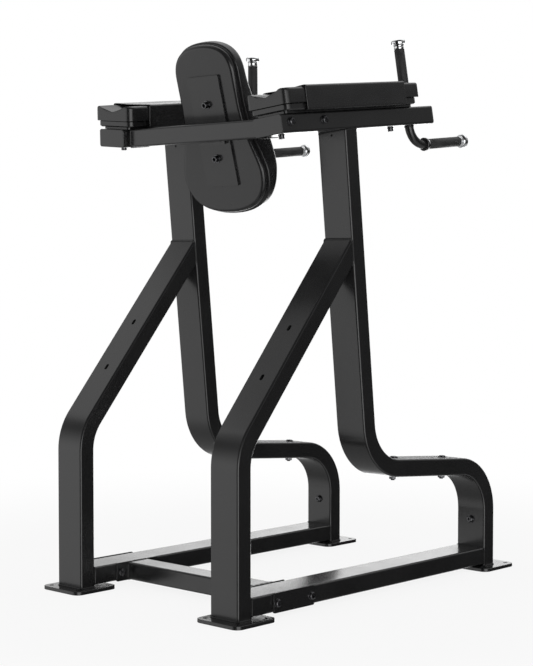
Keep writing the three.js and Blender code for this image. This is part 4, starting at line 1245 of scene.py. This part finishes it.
def make_elbow_board(scene, name, sign):
    """The board under a cushion, on its inset base."""
    pad = scene.station_pad
    sizes = scene.station_frame
    width = 2 * (pad.half - pad.board_inset)
    total = pad.rear + pad.front - 2 * pad.board_inset
    low, top = pad.base_height, pad.base_height + pad.board_height
    chamfer, soft = pad.board_chamfer, BOARD_SOFT
    levels = [
        (pad.base_side, pad.base_end, 0),
        (pad.base_side, pad.base_end, low),
        (chamfer + soft, chamfer + soft, low),
        (chamfer, chamfer, low + 1.5 * soft),
        (2 * soft, 2 * soft, low + chamfer - 2 * soft),
        (0, 0, low + chamfer + soft),
        (0, 0, top - BOARD_BEVEL_DROP),
        (BOARD_BEVEL, BOARD_BEVEL, top),
    ]
    rings = []
    for side, end, z in levels:
        corner = max(pad.corner - side / 2, BOARD_BEVEL)
        outline = rounded_rectangle(width - 2 * side, total - 2 * end, corner)
        rings.append([Vector((x, y, z)) for x, y in outline])
    obj = skin("elbow_pad_board_" + name, rings)
    middle = move(0, (pad.rear - pad.front) / 2, sizes.tube_depth / 2 + sizes.gap)
    finish_flat(obj, "moulded_shell", "elbow_pad_board_" + name, arm_place(scene, sign) @ middle)


def make_elbow_sleeve(scene, name, sign):
    """A vinyl wrap over the middle of the pad, with a folded hem at both of its ends."""
    pad = scene.station_pad
    sizes = scene.station_frame
    outer = pad.half + pad.sleeve_gap + pad.sleeve
    low = sizes.tube_depth / 2 + sizes.gap + pad.sleeve_rise
    high = pad_seat(scene) + pad.height + pad.crown + pad.sleeve_gap + pad.sleeve
    corner, fold = pad.sleeve_corner, SLEEVE_FOLD
    # The fold's upper point is there twice, which keeps the fold crisp when the surface is divided
    outline = [(outer - pad.sleeve_lip, low), (outer - fold, low), (outer, low + fold)]
    outline += [(outer, z) for z in even(low + fold, high - corner, 6)]
    outline += [(outer - corner * (1 - cosine), high - corner * (1 - sine)) for sine, cosine in arc(6, 1)]
    side = list(outline)
    outline += [(x, high) for x in even(outer - corner, corner - outer, 16)[1:-1]]
    outline += [(-x, z) for x, z in reversed(side)]
    points, faces = [], []
    for s, at in enumerate(even(pad.sleeve_rear, -pad.sleeve_front, SLEEVE_ROWS)):
        hem = SLEEVE_HEM if min(s, SLEEVE_ROWS - s) < 2 else 0.0
        for x, z in outline:
            on_top = z > high - SLEEVE_TOP_DEEP
            across = x * SLEEVE_GRAIN + SLEEVE_GRAIN_APART * sign
            place = Vector((across, at * SLEEVE_GRAIN_ALONG, z * SLEEVE_GRAIN))
            grow = hem + SLEEVE_RIPPLE * noise.noise(place)
            dent = 0.0
            if on_top:
                dent = SLEEVE_DENT * math.cos(min(1.0, abs(x) / SLEEVE_DENT_HALF) * QUARTER)
            else:
                grow -= SLEEVE_PULL
            out = math.copysign(grow, x) if abs(x) > outer - SLEEVE_SIDE_DEEP else 0.0
            up = grow - dent if z > high - SLEEVE_SHOULDER else 0.0
            points.append((x + out, at, z + up))
    row = len(outline)
    for s in range(SLEEVE_ROWS):
        for a in range(s * row, s * row + row - 1):
            faces.append((a, a + 1, a + 1 + row, a + row))
    obj = build_object("elbow_pad_sleeve_" + name, points, faces)
    thick = obj.modifiers.new("Thickness", "SOLIDIFY")
    thick.thickness = pad.sleeve
    thick.offset = -1.0
    divide(obj)
    set_down(obj, arm_place(scene, sign))
    finish_piece(obj, "vinyl", "elbow_pad_sleeve_" + name)


def curve_points(start, first, second, end):
    """Points of a Bezier curve after its start."""
    points = []
    for k in range(1, CURVE_STEPS + 1):
        t = k / CURVE_STEPS
        s = 1 - t
        handles = zip(start, first, second, end)
        x, z = (a * s**3 + 3 * b * t * s * s + 3 * c * t * t * s + d * t**3 for a, b, c, d in handles)
        points.append((x, z))
    return points


def backrest_outline(back, inset):
    """Counter-clockwise points of the pear-shaped outline."""
    top_half, bottom_half = back.top_half - inset, back.bottom_half - inset
    top, bottom = back.top - inset, -back.bottom + inset
    top_round, bottom_round = back.top_round - inset, back.bottom_round - inset
    low, high = bottom + bottom_round, top - top_round
    full, waist = back.fullness, back.waist_height
    curves = [
        ((full * bottom_half, bottom), (bottom_half, low - full * bottom_round), (bottom_half, low)),
        ((bottom_half, low + back.flare_pull), (top_half, waist - back.waist_pull), (top_half, waist)),
        ((top_half, high + full * top_round), (full * top_half, top), (0.0, top)),
    ]
    right = [(0.0, bottom)]
    for handles in curves[:2]:
        right += curve_points(right[-1], *handles)
    right += [(top_half, z) for z in even(waist, high, 6)[1:]]
    right += curve_points(right[-1], *curves[2])
    return right + mirrored(right)


def make_backrest_board(scene):
    """The board under the cushion, with a well rounded rear edge."""
    back = scene.station_backrest
    levels = [(back.board_round * (1 - sine), back.board_round * (1 - cosine)) for sine, cosine in arc(9)]
    levels += [(0, back.board - back.board_bevel), (back.board_bevel, back.board)]
    rings = []
    for inset, depth in levels:
        outline = backrest_outline(back, back.board_inset + inset)
        rings.append([Vector((x, y, depth)) for x, y in outline])
    obj = skin("backrest_board", rings)
    finish_flat(obj, "moulded_shell", "backrest_board", backrest_place(scene) @ turn("X", QUARTER))


def cushion_depth(back, height):
    """Thickness of the backrest cushion's sides at a height."""
    return back.cushion + back.lumbar * math.exp(-(((height - back.lumbar_height) / back.lumbar_reach) ** 2))


def make_backrest_cushion(scene):
    """The pear-shaped cushion: a drawn-in rear edge, full sides, and a crowned front."""
    back = scene.station_backrest
    levels = [(back.draw_in + BACK_LEDGE, 0, 0.0), (back.draw_in, 0, 0.0)]
    levels += [(inset * back.draw_in, share, 0.0) for inset, share in BACK_SIDE]
    levels += [(back.edge * (1 - cosine), 1, -back.edge * (1 - sine)) for sine, cosine in arc(8)]
    rings = []
    for share in BACK_CLOSING:
        outline = backrest_outline(back, BACK_SLACK + back.draw_in)
        rings.append([Vector((x * share, y * share, 0)) for x, y in outline])
    for inset, share, depth in levels:
        outline = backrest_outline(back, BACK_SLACK + inset)
        rings.append([Vector((x, y, share * cushion_depth(back, y) + depth)) for x, y in outline])
    rim = rings[-1]
    for share in BACK_FACE:
        crown = back.crown * (1 - share**2)
        face = [(p.x * share, p.y * share) for p in rim]
        rings.append([Vector((x, y, cushion_depth(back, y) + crown)) for x, y in face])
    obj = skin("backrest_cushion", rings)
    inflate(obj, BACK_SWELL, lambda co: co.z < BACK_HELD_HEIGHT)
    divide(obj)
    seat = move(0, -back.board - scene.station_frame.gap, 0) @ turn("X", QUARTER)
    set_down(obj, backrest_place(scene) @ seat)
    finish_piece(obj, "vinyl", "backrest_cushion")


# Handles


def dip_height(scene):
    """Height of the bar's forward run, below the arm's centreline."""
    return -scene.station_frame.tube_depth / 2 - scene.station_handle.bend


def make_handle_bar(scene, name, sign):
    """The bent bar through the arm, with its stop flange and the welds at the arm."""
    handle = scene.station_handle
    drop = dip_height(scene)
    corners = [(handle.bar_y, handle.grip_top), (handle.bar_y, drop)]
    corners.append((-handle.dip_start - handle.grip_length, drop))
    bar = skin("bar", sweep_rings(circle(handle.bar), bent_path(corners, handle.bend)))
    radius, thick, edge = handle.flange, handle.flange_thickness, TURNED_EDGE
    rim = [(radius - edge, 0), (radius, edge), (radius, thick - edge), (radius - edge, thick)]
    flange = lathe("flange", [(handle.bar, 0), *rim, (handle.bar, thick)])
    set_down(flange, move(0, -handle.dip_start + handle.flange_setback, drop) @ turn("X", QUARTER))
    half = scene.station_frame.tube_depth / 2 + WELDS["handle"].off
    loops = [[(x, handle.bar_y + y, z) for x, y in circle(handle.bar, 48)] for z in (-half, half)]
    obj = join("handle_bar_" + name, [bar, flange] + [weld_bead("handle", loop, sign) for loop in loops])
    finish_steel(obj, "handle_bar_" + name, arm_place(scene, sign))


def make_grip(scene, name, place):
    """A rubber sleeve along +Z from its seat, with soft ends and shallow rings at both of them."""
    handle = scene.station_handle
    bore = handle.bar + scene.station_frame.gap
    radius, total = handle.grip, handle.grip_length
    edge, deep, wide = TURNED_EDGE, GRIP_RING_DEPTH, GRIP_RING_WIDTH
    end = [(bore, 0), (radius - edge, 0), (radius - edge / 4, edge / 3), (radius, edge)]
    profile = list(end)
    for start in (*GRIP_RINGS, *(total - left for left in GRIP_LAST_RINGS)):
        profile += [(radius, start), (radius - deep, start + wide / 3)]
        profile += [(radius - deep, start + wide * 2 / 3), (radius, start + wide)]
    profile += [(x, total - z) for x, z in reversed(end)] + [(bore, 0)]
    obj = set_down(lathe(name, profile, 48, TURNED_SHARP), place)
    finish_piece(obj, "grip_rubber", name)


def make_end_cap(scene, name, place):
    """A turned chrome cap along +Z: a short neck that flares to a rounded rim and a domed face."""
    handle = scene.station_handle
    neck, rim, total = handle.neck, handle.rim, handle.cap_length
    edge, shoulder_at = TURNED_EDGE / 2, handle.neck_length * 0.7
    waist, waist_at = neck * 0.97, handle.neck_length * 0.9
    bulge_at, face_at = total * 0.62, total * 0.95
    flare, flare_at = rim * 0.97, bulge_at * 0.86
    face, lead = 0.68, 0.25
    profile = [(0, 0), (neck - edge, 0), (neck, edge), (neck, shoulder_at), (waist, waist_at)]
    for sine, cosine in arc(8, 1):
        profile.append((waist + (flare - waist) * (1 - cosine), waist_at + (flare_at - waist_at) * sine))
    for k in range(1, 13):
        a = QUARTER * k / 12
        out = rim * (face + (1 - face) * math.cos(a - lead))
        profile.append((out, bulge_at + (face_at - bulge_at) * math.sin(a)))
    for share in (0.5, 0.25, 0.0):
        profile.append((rim * share, total - (total - face_at) * (share / face) ** 2))
    obj = set_down(lathe(name, profile, 64, TURNED_SHARP), place)
    finish_piece(obj, "chrome", name)


def make_collar(scene, name, place):
    """The chrome ring behind the dip grip."""
    handle = scene.station_handle
    bore = handle.bar + scene.station_frame.gap
    radius, total, edge = handle.ring, handle.ring_length, TURNED_EDGE
    end = [(bore, 0), (radius - edge, 0), (radius - edge * 0.3, edge * 0.3), (radius, edge)]
    profile = end + [(x, total - z) for x, z in reversed(end)] + [(bore, 0)]
    obj = set_down(lathe(name, profile, 64, RING_SHARP), place)
    finish_piece(obj, "chrome", name)


# Fasteners


def hexagon(width, z):
    """A hexagon at a height, from its width across the flats."""
    return [Vector((x, y, z)) for x, y in circle(width / math.sqrt(3), 6)]


Head = namedtuple("Head", "radius height dome taper socket depth")

# How far the cut for a bolt's socket starts above the head
SOCKET_ABOVE = 0.005

# Heads of the bolts: the taper is the share of the radius that the dome draws in
HEADS = {
    "button": Head(0.0105, 0.0065, 0.0042, 0.42, 0.008, 0.0035),
    "low": Head(0.01, 0.003, 0.0018, 0.42, 0.007, 0.0015),
    "socket": Head(0.009, 0.011, 0.0012, 0.1, 0.01, 0.006),
    "small": Head(0.0075, 0.0085, 0.001, 0.1, 0.007, 0.0045),
}


def make_nut(sizes, grip):
    """A chamfered nut past a grip."""
    height, flat, wide = sizes.nut_height, sizes.nut_width / 2, sizes.nut_width / math.sqrt(3)
    nut = skin("nut", [hexagon(sizes.nut_width, -grip - z) for z in (height, 0)])
    rise, face, out = 0.0018, flat * 0.97, wide * 1.02
    cone = [(0, 0), (face, 0), (out, rise), (out, height - rise), (face, height), (0, height)]
    chamfer = set_down(lathe("chamfer", cone, 36), move(0, 0, -grip - height))
    return cut_with(nut, "INTERSECT", [chamfer])


def make_thread(sizes, grip):
    """The bolt's end past a grip, with the thread that shows behind the nut."""
    shank, pitch, deep, into_nut = sizes.shank, 0.0014, 0.0006, 0.002
    low = -grip - sizes.nut_height - sizes.tail
    last_ring, point = low + 0.0016, 0.001
    profile = [(0, -grip - into_nut), (shank, -grip - into_nut)]
    z = -grip - sizes.nut_height
    while z > last_ring:
        profile += [(shank, z), (shank - deep, z - pitch / 2)]
        z -= pitch
    profile += [(shank - point, low), (0, low)]
    return lathe("thread", profile[::-1], 24)


def make_bolt(scene, name, head_name, place, grip=None):
    """A socket-headed bolt: washer and head along +Z from its seat, and past a grip its nut and end."""
    sizes = scene.station_bolt
    head = HEADS[head_name]
    small = head_name == "small"
    washer = sizes.small_washer if small else sizes.washer
    shank = sizes.small_shank if small else sizes.shank
    thick, under_edge, edge, into_hole = sizes.washer_thickness, 0.0003, 0.0004, 0.004
    rise = thick + head.height
    shoulder = rise - head.dome
    profile = [(0, -into_hole), (shank, -into_hole), (shank, 0), (washer - under_edge, 0)]
    profile += [(washer, under_edge), (washer, thick - edge), (washer - edge, thick)]
    profile += [(head.radius, thick), (head.radius, shoulder)]
    for sine, cosine in arc(5, 1):
        profile.append((head.radius * (1 - head.taper * (1 - cosine)), shoulder + head.dome * sine))
    profile.append((0, rise))
    obj = lathe("head", profile, 36)
    levels = (rise - head.depth, rise + SOCKET_ABOVE)
    carve(obj, [skin("socket", [hexagon(head.socket, z) for z in levels])])
    if grip is not None:
        obj = join("bolt", [obj, make_nut(sizes, grip), make_thread(sizes, grip)])
    obj.name = name
    finish_flat(obj, "black_steel", name, place)


def make_frame_bolts(scene, name, sign):
    """The bolts of a side frame: two in the step, one in the front leg and two in the base joint."""
    sizes, bolts = scene.station_frame, scene.station_bolt
    half, gap = sizes.tube_depth / 2, sizes.gap
    side = side_place(scene, sign)
    step = side @ move(0, sizes.front_leg_y, sizes.step_height) @ turn("X", sizes.step_slope)
    for k in range(2):
        place = step @ move(0, bolts.step_first + k * bolts.step_spacing, half + gap)
        make_bolt(scene, f"step_bolt_{name}_{k + 1}", "low", place, sizes.tube_depth + 2 * gap)
    place = side @ move(0, sizes.front_leg_y + half + gap, bolts.leg_height) @ turn("X", -QUARTER)
    make_bolt(scene, "front_leg_bolt_" + name, "button", place)
    out = sizes.tube_width / 2 + sizes.joint_thickness + 2 * gap
    for where, way in (("front", -1), ("rear", 1)):
        at = sizes.joint_y + way * sizes.joint_spacing / 2
        place = side @ move(sign * out, at, rail_middle(sizes)) @ turn("Y", sign * QUARTER)
        make_bolt(scene, f"base_bolt_{name}_{where}", "button", place, 2 * out)


def make_arm_bolts(scene, name, sign):
    """The bolts of an arm: two through its side and two up into the elbow pad."""
    sizes, arm_sizes, pad = scene.station_frame, scene.station_arm, scene.station_pad
    gap = sizes.gap
    arm = arm_place(scene, sign)
    out = sign * (sizes.tube_width / 2 + gap)
    grip = sizes.tube_width + arm_sizes.plate_thickness + 3 * gap
    for where, at in (("rear", 0.0), ("front", arm_sizes.bolt_spacing)):
        place = arm @ move(out, arm_sizes.bolt_rear - at, arm_sizes.bolt_height) @ turn("Y", sign * QUARTER)
        make_bolt(scene, f"arm_bolt_{name}_{where}", "button", place, grip)
    for where, at in (("rear", pad.bolt_rear), ("front", pad.bolt_front)):
        place = arm @ move(0, at, -sizes.tube_depth / 2 - gap) @ turn("X", math.pi)
        make_bolt(scene, f"pad_bolt_{name}_{where}", "small", place)


def make_backrest_bolts(scene):
    """The two bolts through the mount plate into the backrest's board."""
    back = scene.station_backrest
    out = back.plate_thickness + 2 * scene.station_frame.gap
    for where, way in (("lower", -1), ("upper", 1)):
        at = way * back.bolt_spacing / 2 - back.plate_drop
        place = backrest_place(scene) @ move(0, out, at) @ turn("X", -QUARTER)
        make_bolt(scene, "backrest_bolt_" + where, "socket", place)


# Stage

# Camera, in millimetres, metres and degrees
CAMERA_LENS = 88.12
CAMERA_SENSOR = 36.0
CAMERA_PLACE = (-3.199, 3.4719, 0.9246)
CAMERA_YAW = 43.372
CAMERA_PITCH = 2.577

Light = namedtuple("Light", "place target width height")

LIGHTS = {
    "camera_light": Light((-3.9, 3.3, 2.2), (0, 0, 0.9), 1.3, 1.8),
    "side_light": Light((2.2, 1.1, 2.25), (0, 0.3, 0.8), 1.5, 0.9),
}

# Half the floor's width, and the distances between which it turns white
FLOOR_HALF = 30.0
FLOOR_FADE = (0.9, 2.6)

# Sectors of the mirrored surround, in degrees from +X to +Y: the middle, and the half angles out to
# which it reaches and within which it is full
SECTORS = {
    "left": (8, 45, 18),
    "behind": (-58, 24, 6),
    "line": (153, 27, 15),
    "flag": (-12, 24, 12),
    "strip": (-47, 42, 30),
    "shade": (233, 56, 38),
    "front": (285, 65, 35),
    "gap": (103, 29, 19),
}

# Bands of the mirrored surround, as the sine of the elevation: 0 at the horizon, 1 overhead
BANDS = {
    "sky": (-0.02, 0.46),
    "ground": (-0.25, -0.08),
    "floor": (-0.65, -0.3),
    "left": (0.35, 0.6),
    "low": (0.25, 0.6),
    "line": (0.03, 0.28),
    "strip_foot": (-0.06, -0.01),
    "strip_head": (0.09, 0.14),
    "shade_high": (0.0, 0.32),
    "shade_low": (-0.75, -0.3),
    "front": (0.42, 0.62),
}


def add_pointing(name, data, place, direction):
    """A light or a camera at a place, pointing along a direction."""
    obj = bpy.data.objects.new(name, data)
    obj.location = place
    obj.rotation_euler = direction.to_track_quat("-Z", "Y").to_euler()
    bpy.context.scene.collection.objects.link(obj)
    return obj


def make_light(name, power):
    """A rectangular soft light."""
    light = LIGHTS[name]
    data = bpy.data.lights.new(name, "AREA")
    data.shape = "RECTANGLE"
    data.size, data.size_y = light.width, light.height
    data.energy = power
    add_pointing(name, data, light.place, Vector(light.target) - Vector(light.place))


def make_camera(scene):
    """The camera of the photograph's view."""
    data = bpy.data.cameras.new("camera")
    data.lens = CAMERA_LENS
    data.sensor_width = CAMERA_SENSOR
    yaw, pitch = math.radians(CAMERA_YAW), math.radians(CAMERA_PITCH)
    forward = Vector((math.sin(yaw) * math.cos(pitch), -math.cos(yaw) * math.cos(pitch), -math.sin(pitch)))
    scene.camera = add_pointing("camera", data, CAMERA_PLACE, forward)


def make_floor(colours):
    """A wide pale floor that keeps a faint shadow and turns white away from the station."""
    half = FLOOR_HALF
    corners = [(-half, -half, 0), (half, -half, 0), (half, half, 0), (-half, half, 0)]
    floor = build_object("floor", corners, [(0, 1, 2, 3)])
    surface = bpy.data.materials.new("floor")
    surface.use_nodes = True
    surface.node_tree.nodes.clear()
    book = NodeBook(surface)
    diffuse = book.add("ShaderNodeBsdfDiffuse", {"Color": (*colours.floor, 1)}).outputs[0]
    glow = book.add("ShaderNodeEmission").outputs[0]
    clear = book.add("ShaderNodeBsdfTransparent").outputs[0]
    path = book.add("ShaderNodeLightPath").outputs
    distance = book.vector("LENGTH", book.place).outputs["Value"]
    fade = book.ramp(distance, *FLOOR_FADE, colours.floor_glow, 1.0, "SMOOTHSTEP")
    seen = book.mix(book.math("MULTIPLY", path["Is Camera Ray"], fade), diffuse, glow)
    surface_shader = book.mix(path["Is Glossy Ray"], seen, clear)
    book.add("ShaderNodeOutputMaterial", {0: surface_shader})
    floor.data.materials.append(surface)


class WorldBook(NodeBook):
    """Short calls for the soft boxes and dark sectors of the mirrored surround."""

    def __init__(self, world):
        world.use_nodes = True
        world.node_tree.nodes.clear()
        super().__init__(world, "Generated")
        self.up = self.add("ShaderNodeSeparateXYZ", {0: self.place}).outputs["Z"]

    def band(self, name, low, high, value=None):
        """Goes from low to high through a band of heights."""
        height = self.up if value is None else value
        return self.ramp(height, *BANDS[name], low, high, "SMOOTHSTEP")

    def sector(self, name):
        """1 inside a sector of the compass and 0 outside it."""
        centre, outer, inner = (math.radians(degrees) for degrees in SECTORS[name])
        flat = self.vector("MULTIPLY", self.place, (1, 1, 0)).outputs[0]
        unit = self.vector("NORMALIZE", flat).outputs[0]
        toward = self.vector("DOT_PRODUCT", unit, (math.cos(centre), math.sin(centre), 0)).outputs["Value"]
        return self.ramp(toward, math.cos(outer), math.cos(inner), 0.0, 1.0, "SMOOTHSTEP")

    def times(self, first, *others):
        """A product of two or more numbers."""
        for other in others:
            first = self.math("MULTIPLY", first, other)
        return first

    def background(self, strength):
        """White light from the surround."""
        inputs = {"Color": (1, 1, 1, 1), "Strength": strength}
        return self.add("ShaderNodeBackground", inputs).outputs[0]


def make_world(scene, colours):
    """A white surround. Mirrored, it is soft boxes with a wide dark sector and narrow dark gaps."""
    scene.world = bpy.data.worlds.new("surround")
    book = WorldBook(scene.world)
    sky = book.band("sky", colours.horizon, colours.horizon * colours.sky)
    ground = book.band("ground", colours.ground, 1.0)
    light = book.times(ground, book.band("floor", colours.floor_light, 1.0), sky)
    left = book.times(book.sector("left"), book.band("left", 0.0, colours.left))
    light = book.math("ADD", light, left)
    low = book.band("low", 1.0, 0.0, book.math("ABSOLUTE", book.up))
    behind = book.times(book.sector("behind"), low)
    light = book.times(light, book.blend(behind, 1.0, colours.behind))
    line = book.band("line", colours.line, colours.line_high)
    light = book.times(light, book.blend(book.sector("line"), 1.0, line))
    light = book.blend(book.times(book.sector("flag"), low), light, colours.flag)
    strip = book.times(book.band("strip_foot", 0.0, 1.0), book.band("strip_head", 1.0, 0.0))
    light = book.blend(book.times(book.sector("strip"), strip), light, colours.flag)
    upper = book.band("shade_high", colours.shade, colours.shade_high)
    lower = book.band("shade_low", colours.shade_low, 0.0)
    light = book.blend(book.sector("shade"), light, book.math("ADD", upper, lower))
    front = book.times(book.sector("front"), book.band("front", 0.0, colours.front))
    light = book.math("ADD", light, front)
    mirrored_light = book.background(book.blend(book.sector("gap"), light, colours.gap))
    path = book.add("ShaderNodeLightPath").outputs
    lit = book.mix(path["Is Glossy Ray"], book.background(colours.plain), mirrored_light)
    seen = book.math("MAXIMUM", path["Is Camera Ray"], path["Is Transmission Ray"])
    book.add("ShaderNodeOutputWorld", {0: book.mix(seen, lit, book.background(1.0))})


# Operators


class StationOperator:
    """What the operators share."""

    bl_options = {"REGISTER", "UNDO"}


class STATION_OT_side_frames(StationOperator, bpy.types.Operator):
    """Builds the front posts, rear legs, rails and splice plates"""

    bl_idname = "station.side_frames"
    bl_label = "Side Frames"

    def execute(self, context):
        for name, sign in SIDES:
            make_front_post(context.scene, name, sign)
            make_rear_leg(context.scene, name, sign)
            make_rail(context.scene, name, sign)
            make_splice_plate(context.scene, name, sign)
        return {"FINISHED"}


class STATION_OT_base(StationOperator, bpy.types.Operator):
    """Builds the foot plates and the base crossbar"""

    bl_idname = "station.base"
    bl_label = "Foot Plates and Base Crossbar"

    def execute(self, context):
        scene = context.scene
        sizes = scene.station_frame
        for name, sign in SIDES:
            make_foot_plate(scene, "foot_plate_front_" + name, sign, sizes.front_leg_y)
            make_foot_plate(scene, "foot_plate_rear_" + name, sign, sizes.rear_leg_y)
        make_base_crossbar(scene)
        return {"FINISHED"}


class STATION_OT_arms(StationOperator, bpy.types.Operator):
    """Builds the arms with their end caps, the top crossbar and the backrest mount"""

    bl_idname = "station.arms"
    bl_label = "Arms and Top Crossbar"

    def execute(self, context):
        for name, sign in SIDES:
            make_arm(context.scene, name, sign)
        make_top_crossbar(context.scene)
        make_backrest_mount(context.scene)
        return {"FINISHED"}


class STATION_OT_elbow_pads(StationOperator, bpy.types.Operator):
    """Builds the elbow pads: boards, grooved cushions and sleeves"""

    bl_idname = "station.elbow_pads"
    bl_label = "Elbow Pads"

    def execute(self, context):
        for name, sign in SIDES:
            make_elbow_board(context.scene, name, sign)
            make_elbow_cushion(context.scene, name, sign)
            make_elbow_sleeve(context.scene, name, sign)
        return {"FINISHED"}


class STATION_OT_backrest(StationOperator, bpy.types.Operator):
    """Builds the backrest: board and crowned cushion"""

    bl_idname = "station.backrest"
    bl_label = "Backrest"

    def execute(self, context):
        make_backrest_board(context.scene)
        make_backrest_cushion(context.scene)
        return {"FINISHED"}


class STATION_OT_handles(StationOperator, bpy.types.Operator):
    """Builds the handle bars, grips, collars and chrome end caps"""

    bl_idname = "station.handles"
    bl_label = "Handles"

    def execute(self, context):
        scene = context.scene
        handle = scene.station_handle
        gap = scene.station_frame.gap
        grip_foot = handle.grip_top - handle.grip_length
        dip_end = -handle.dip_start - handle.grip_length
        ring_at = -handle.dip_start + handle.flange_setback - handle.flange_thickness
        for name, sign in SIDES:
            upright = arm_place(scene, sign) @ move(0, handle.bar_y, 0)
            dip = arm_place(scene, sign) @ move(0, 0, dip_height(scene))
            forward = turn("X", QUARTER)
            make_handle_bar(scene, name, sign)
            make_grip(scene, "grip_vertical_" + name, upright @ move(0, 0, grip_foot))
            make_grip(scene, "grip_dip_" + name, dip @ move(0, -handle.dip_start, 0) @ forward)
            make_end_cap(scene, "grip_cap_vertical_" + name, upright @ move(0, 0, handle.grip_top + gap))
            make_end_cap(scene, "grip_cap_dip_" + name, dip @ move(0, dip_end - gap, 0) @ forward)
            make_collar(scene, "grip_ring_" + name, dip @ move(0, ring_at - gap, 0) @ forward)
        return {"FINISHED"}


class STATION_OT_fasteners(StationOperator, bpy.types.Operator):
    """Builds the bolts, washers and nuts"""

    bl_idname = "station.fasteners"
    bl_label = "Fasteners"

    def execute(self, context):
        for name, sign in SIDES:
            make_frame_bolts(context.scene, name, sign)
            make_arm_bolts(context.scene, name, sign)
        make_backrest_bolts(context.scene)
        return {"FINISHED"}


class STATION_OT_stage(StationOperator, bpy.types.Operator):
    """Builds the floor, the lights, the world and the camera"""

    bl_idname = "station.stage"
    bl_label = "Stage"

    def execute(self, context):
        scene = context.scene
        colours = scene.station_colour
        scene.view_settings.view_transform = "Standard"
        make_floor(colours)
        make_world(scene, colours)
        make_light("camera_light", colours.fill)
        make_light("side_light", colours.side)
        make_camera(scene)
        return {"FINISHED"}


class STATION_PT_panel(bpy.types.Panel):
    """Buttons for each group of pieces, with the main sizes and colours"""

    bl_idname = "STATION_PT_panel"
    bl_label = "Knee Raise Station"
    bl_space_type = "VIEW_3D"
    bl_region_type = "UI"
    bl_category = "Station"

    def draw(self, context):
        column = self.layout.column(align=True)
        for operator in OPERATORS:
            column.operator(operator.bl_idname)
        for key in SIZE_GROUPS:
            box = self.layout.box()
            box.label(text=key.replace("_", " ").capitalize())
            group = getattr(context.scene, key)
            for name in group.__annotations__:
                box.prop(group, name)


OPERATORS = (
    STATION_OT_side_frames,
    STATION_OT_base,
    STATION_OT_arms,
    STATION_OT_elbow_pads,
    STATION_OT_backrest,
    STATION_OT_handles,
    STATION_OT_fasteners,
    STATION_OT_stage,
)


def register():
    """Adds the sizes, the operators and the panel to Blender."""
    for key, group in SIZE_GROUPS.items():
        bpy.utils.register_class(group)
        setattr(bpy.types.Scene, key, PointerProperty(type=group))
    for item in (*OPERATORS, STATION_PT_panel):
        bpy.utils.register_class(item)


def unregister():
    """Takes the panel, the operators and the sizes out of Blender."""
    for item in reversed((*OPERATORS, STATION_PT_panel)):
        bpy.utils.unregister_class(item)
    for key, group in SIZE_GROUPS.items():
        delattr(bpy.types.Scene, key)
        bpy.utils.unregister_class(group)


def main():
    """Builds every piece and the stage."""
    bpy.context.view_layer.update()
    register()
    for operator in OPERATORS:
        group, name = operator.bl_idname.split(".")
        getattr(getattr(bpy.ops, group), name)()


if __name__ == "__main__":
    main()
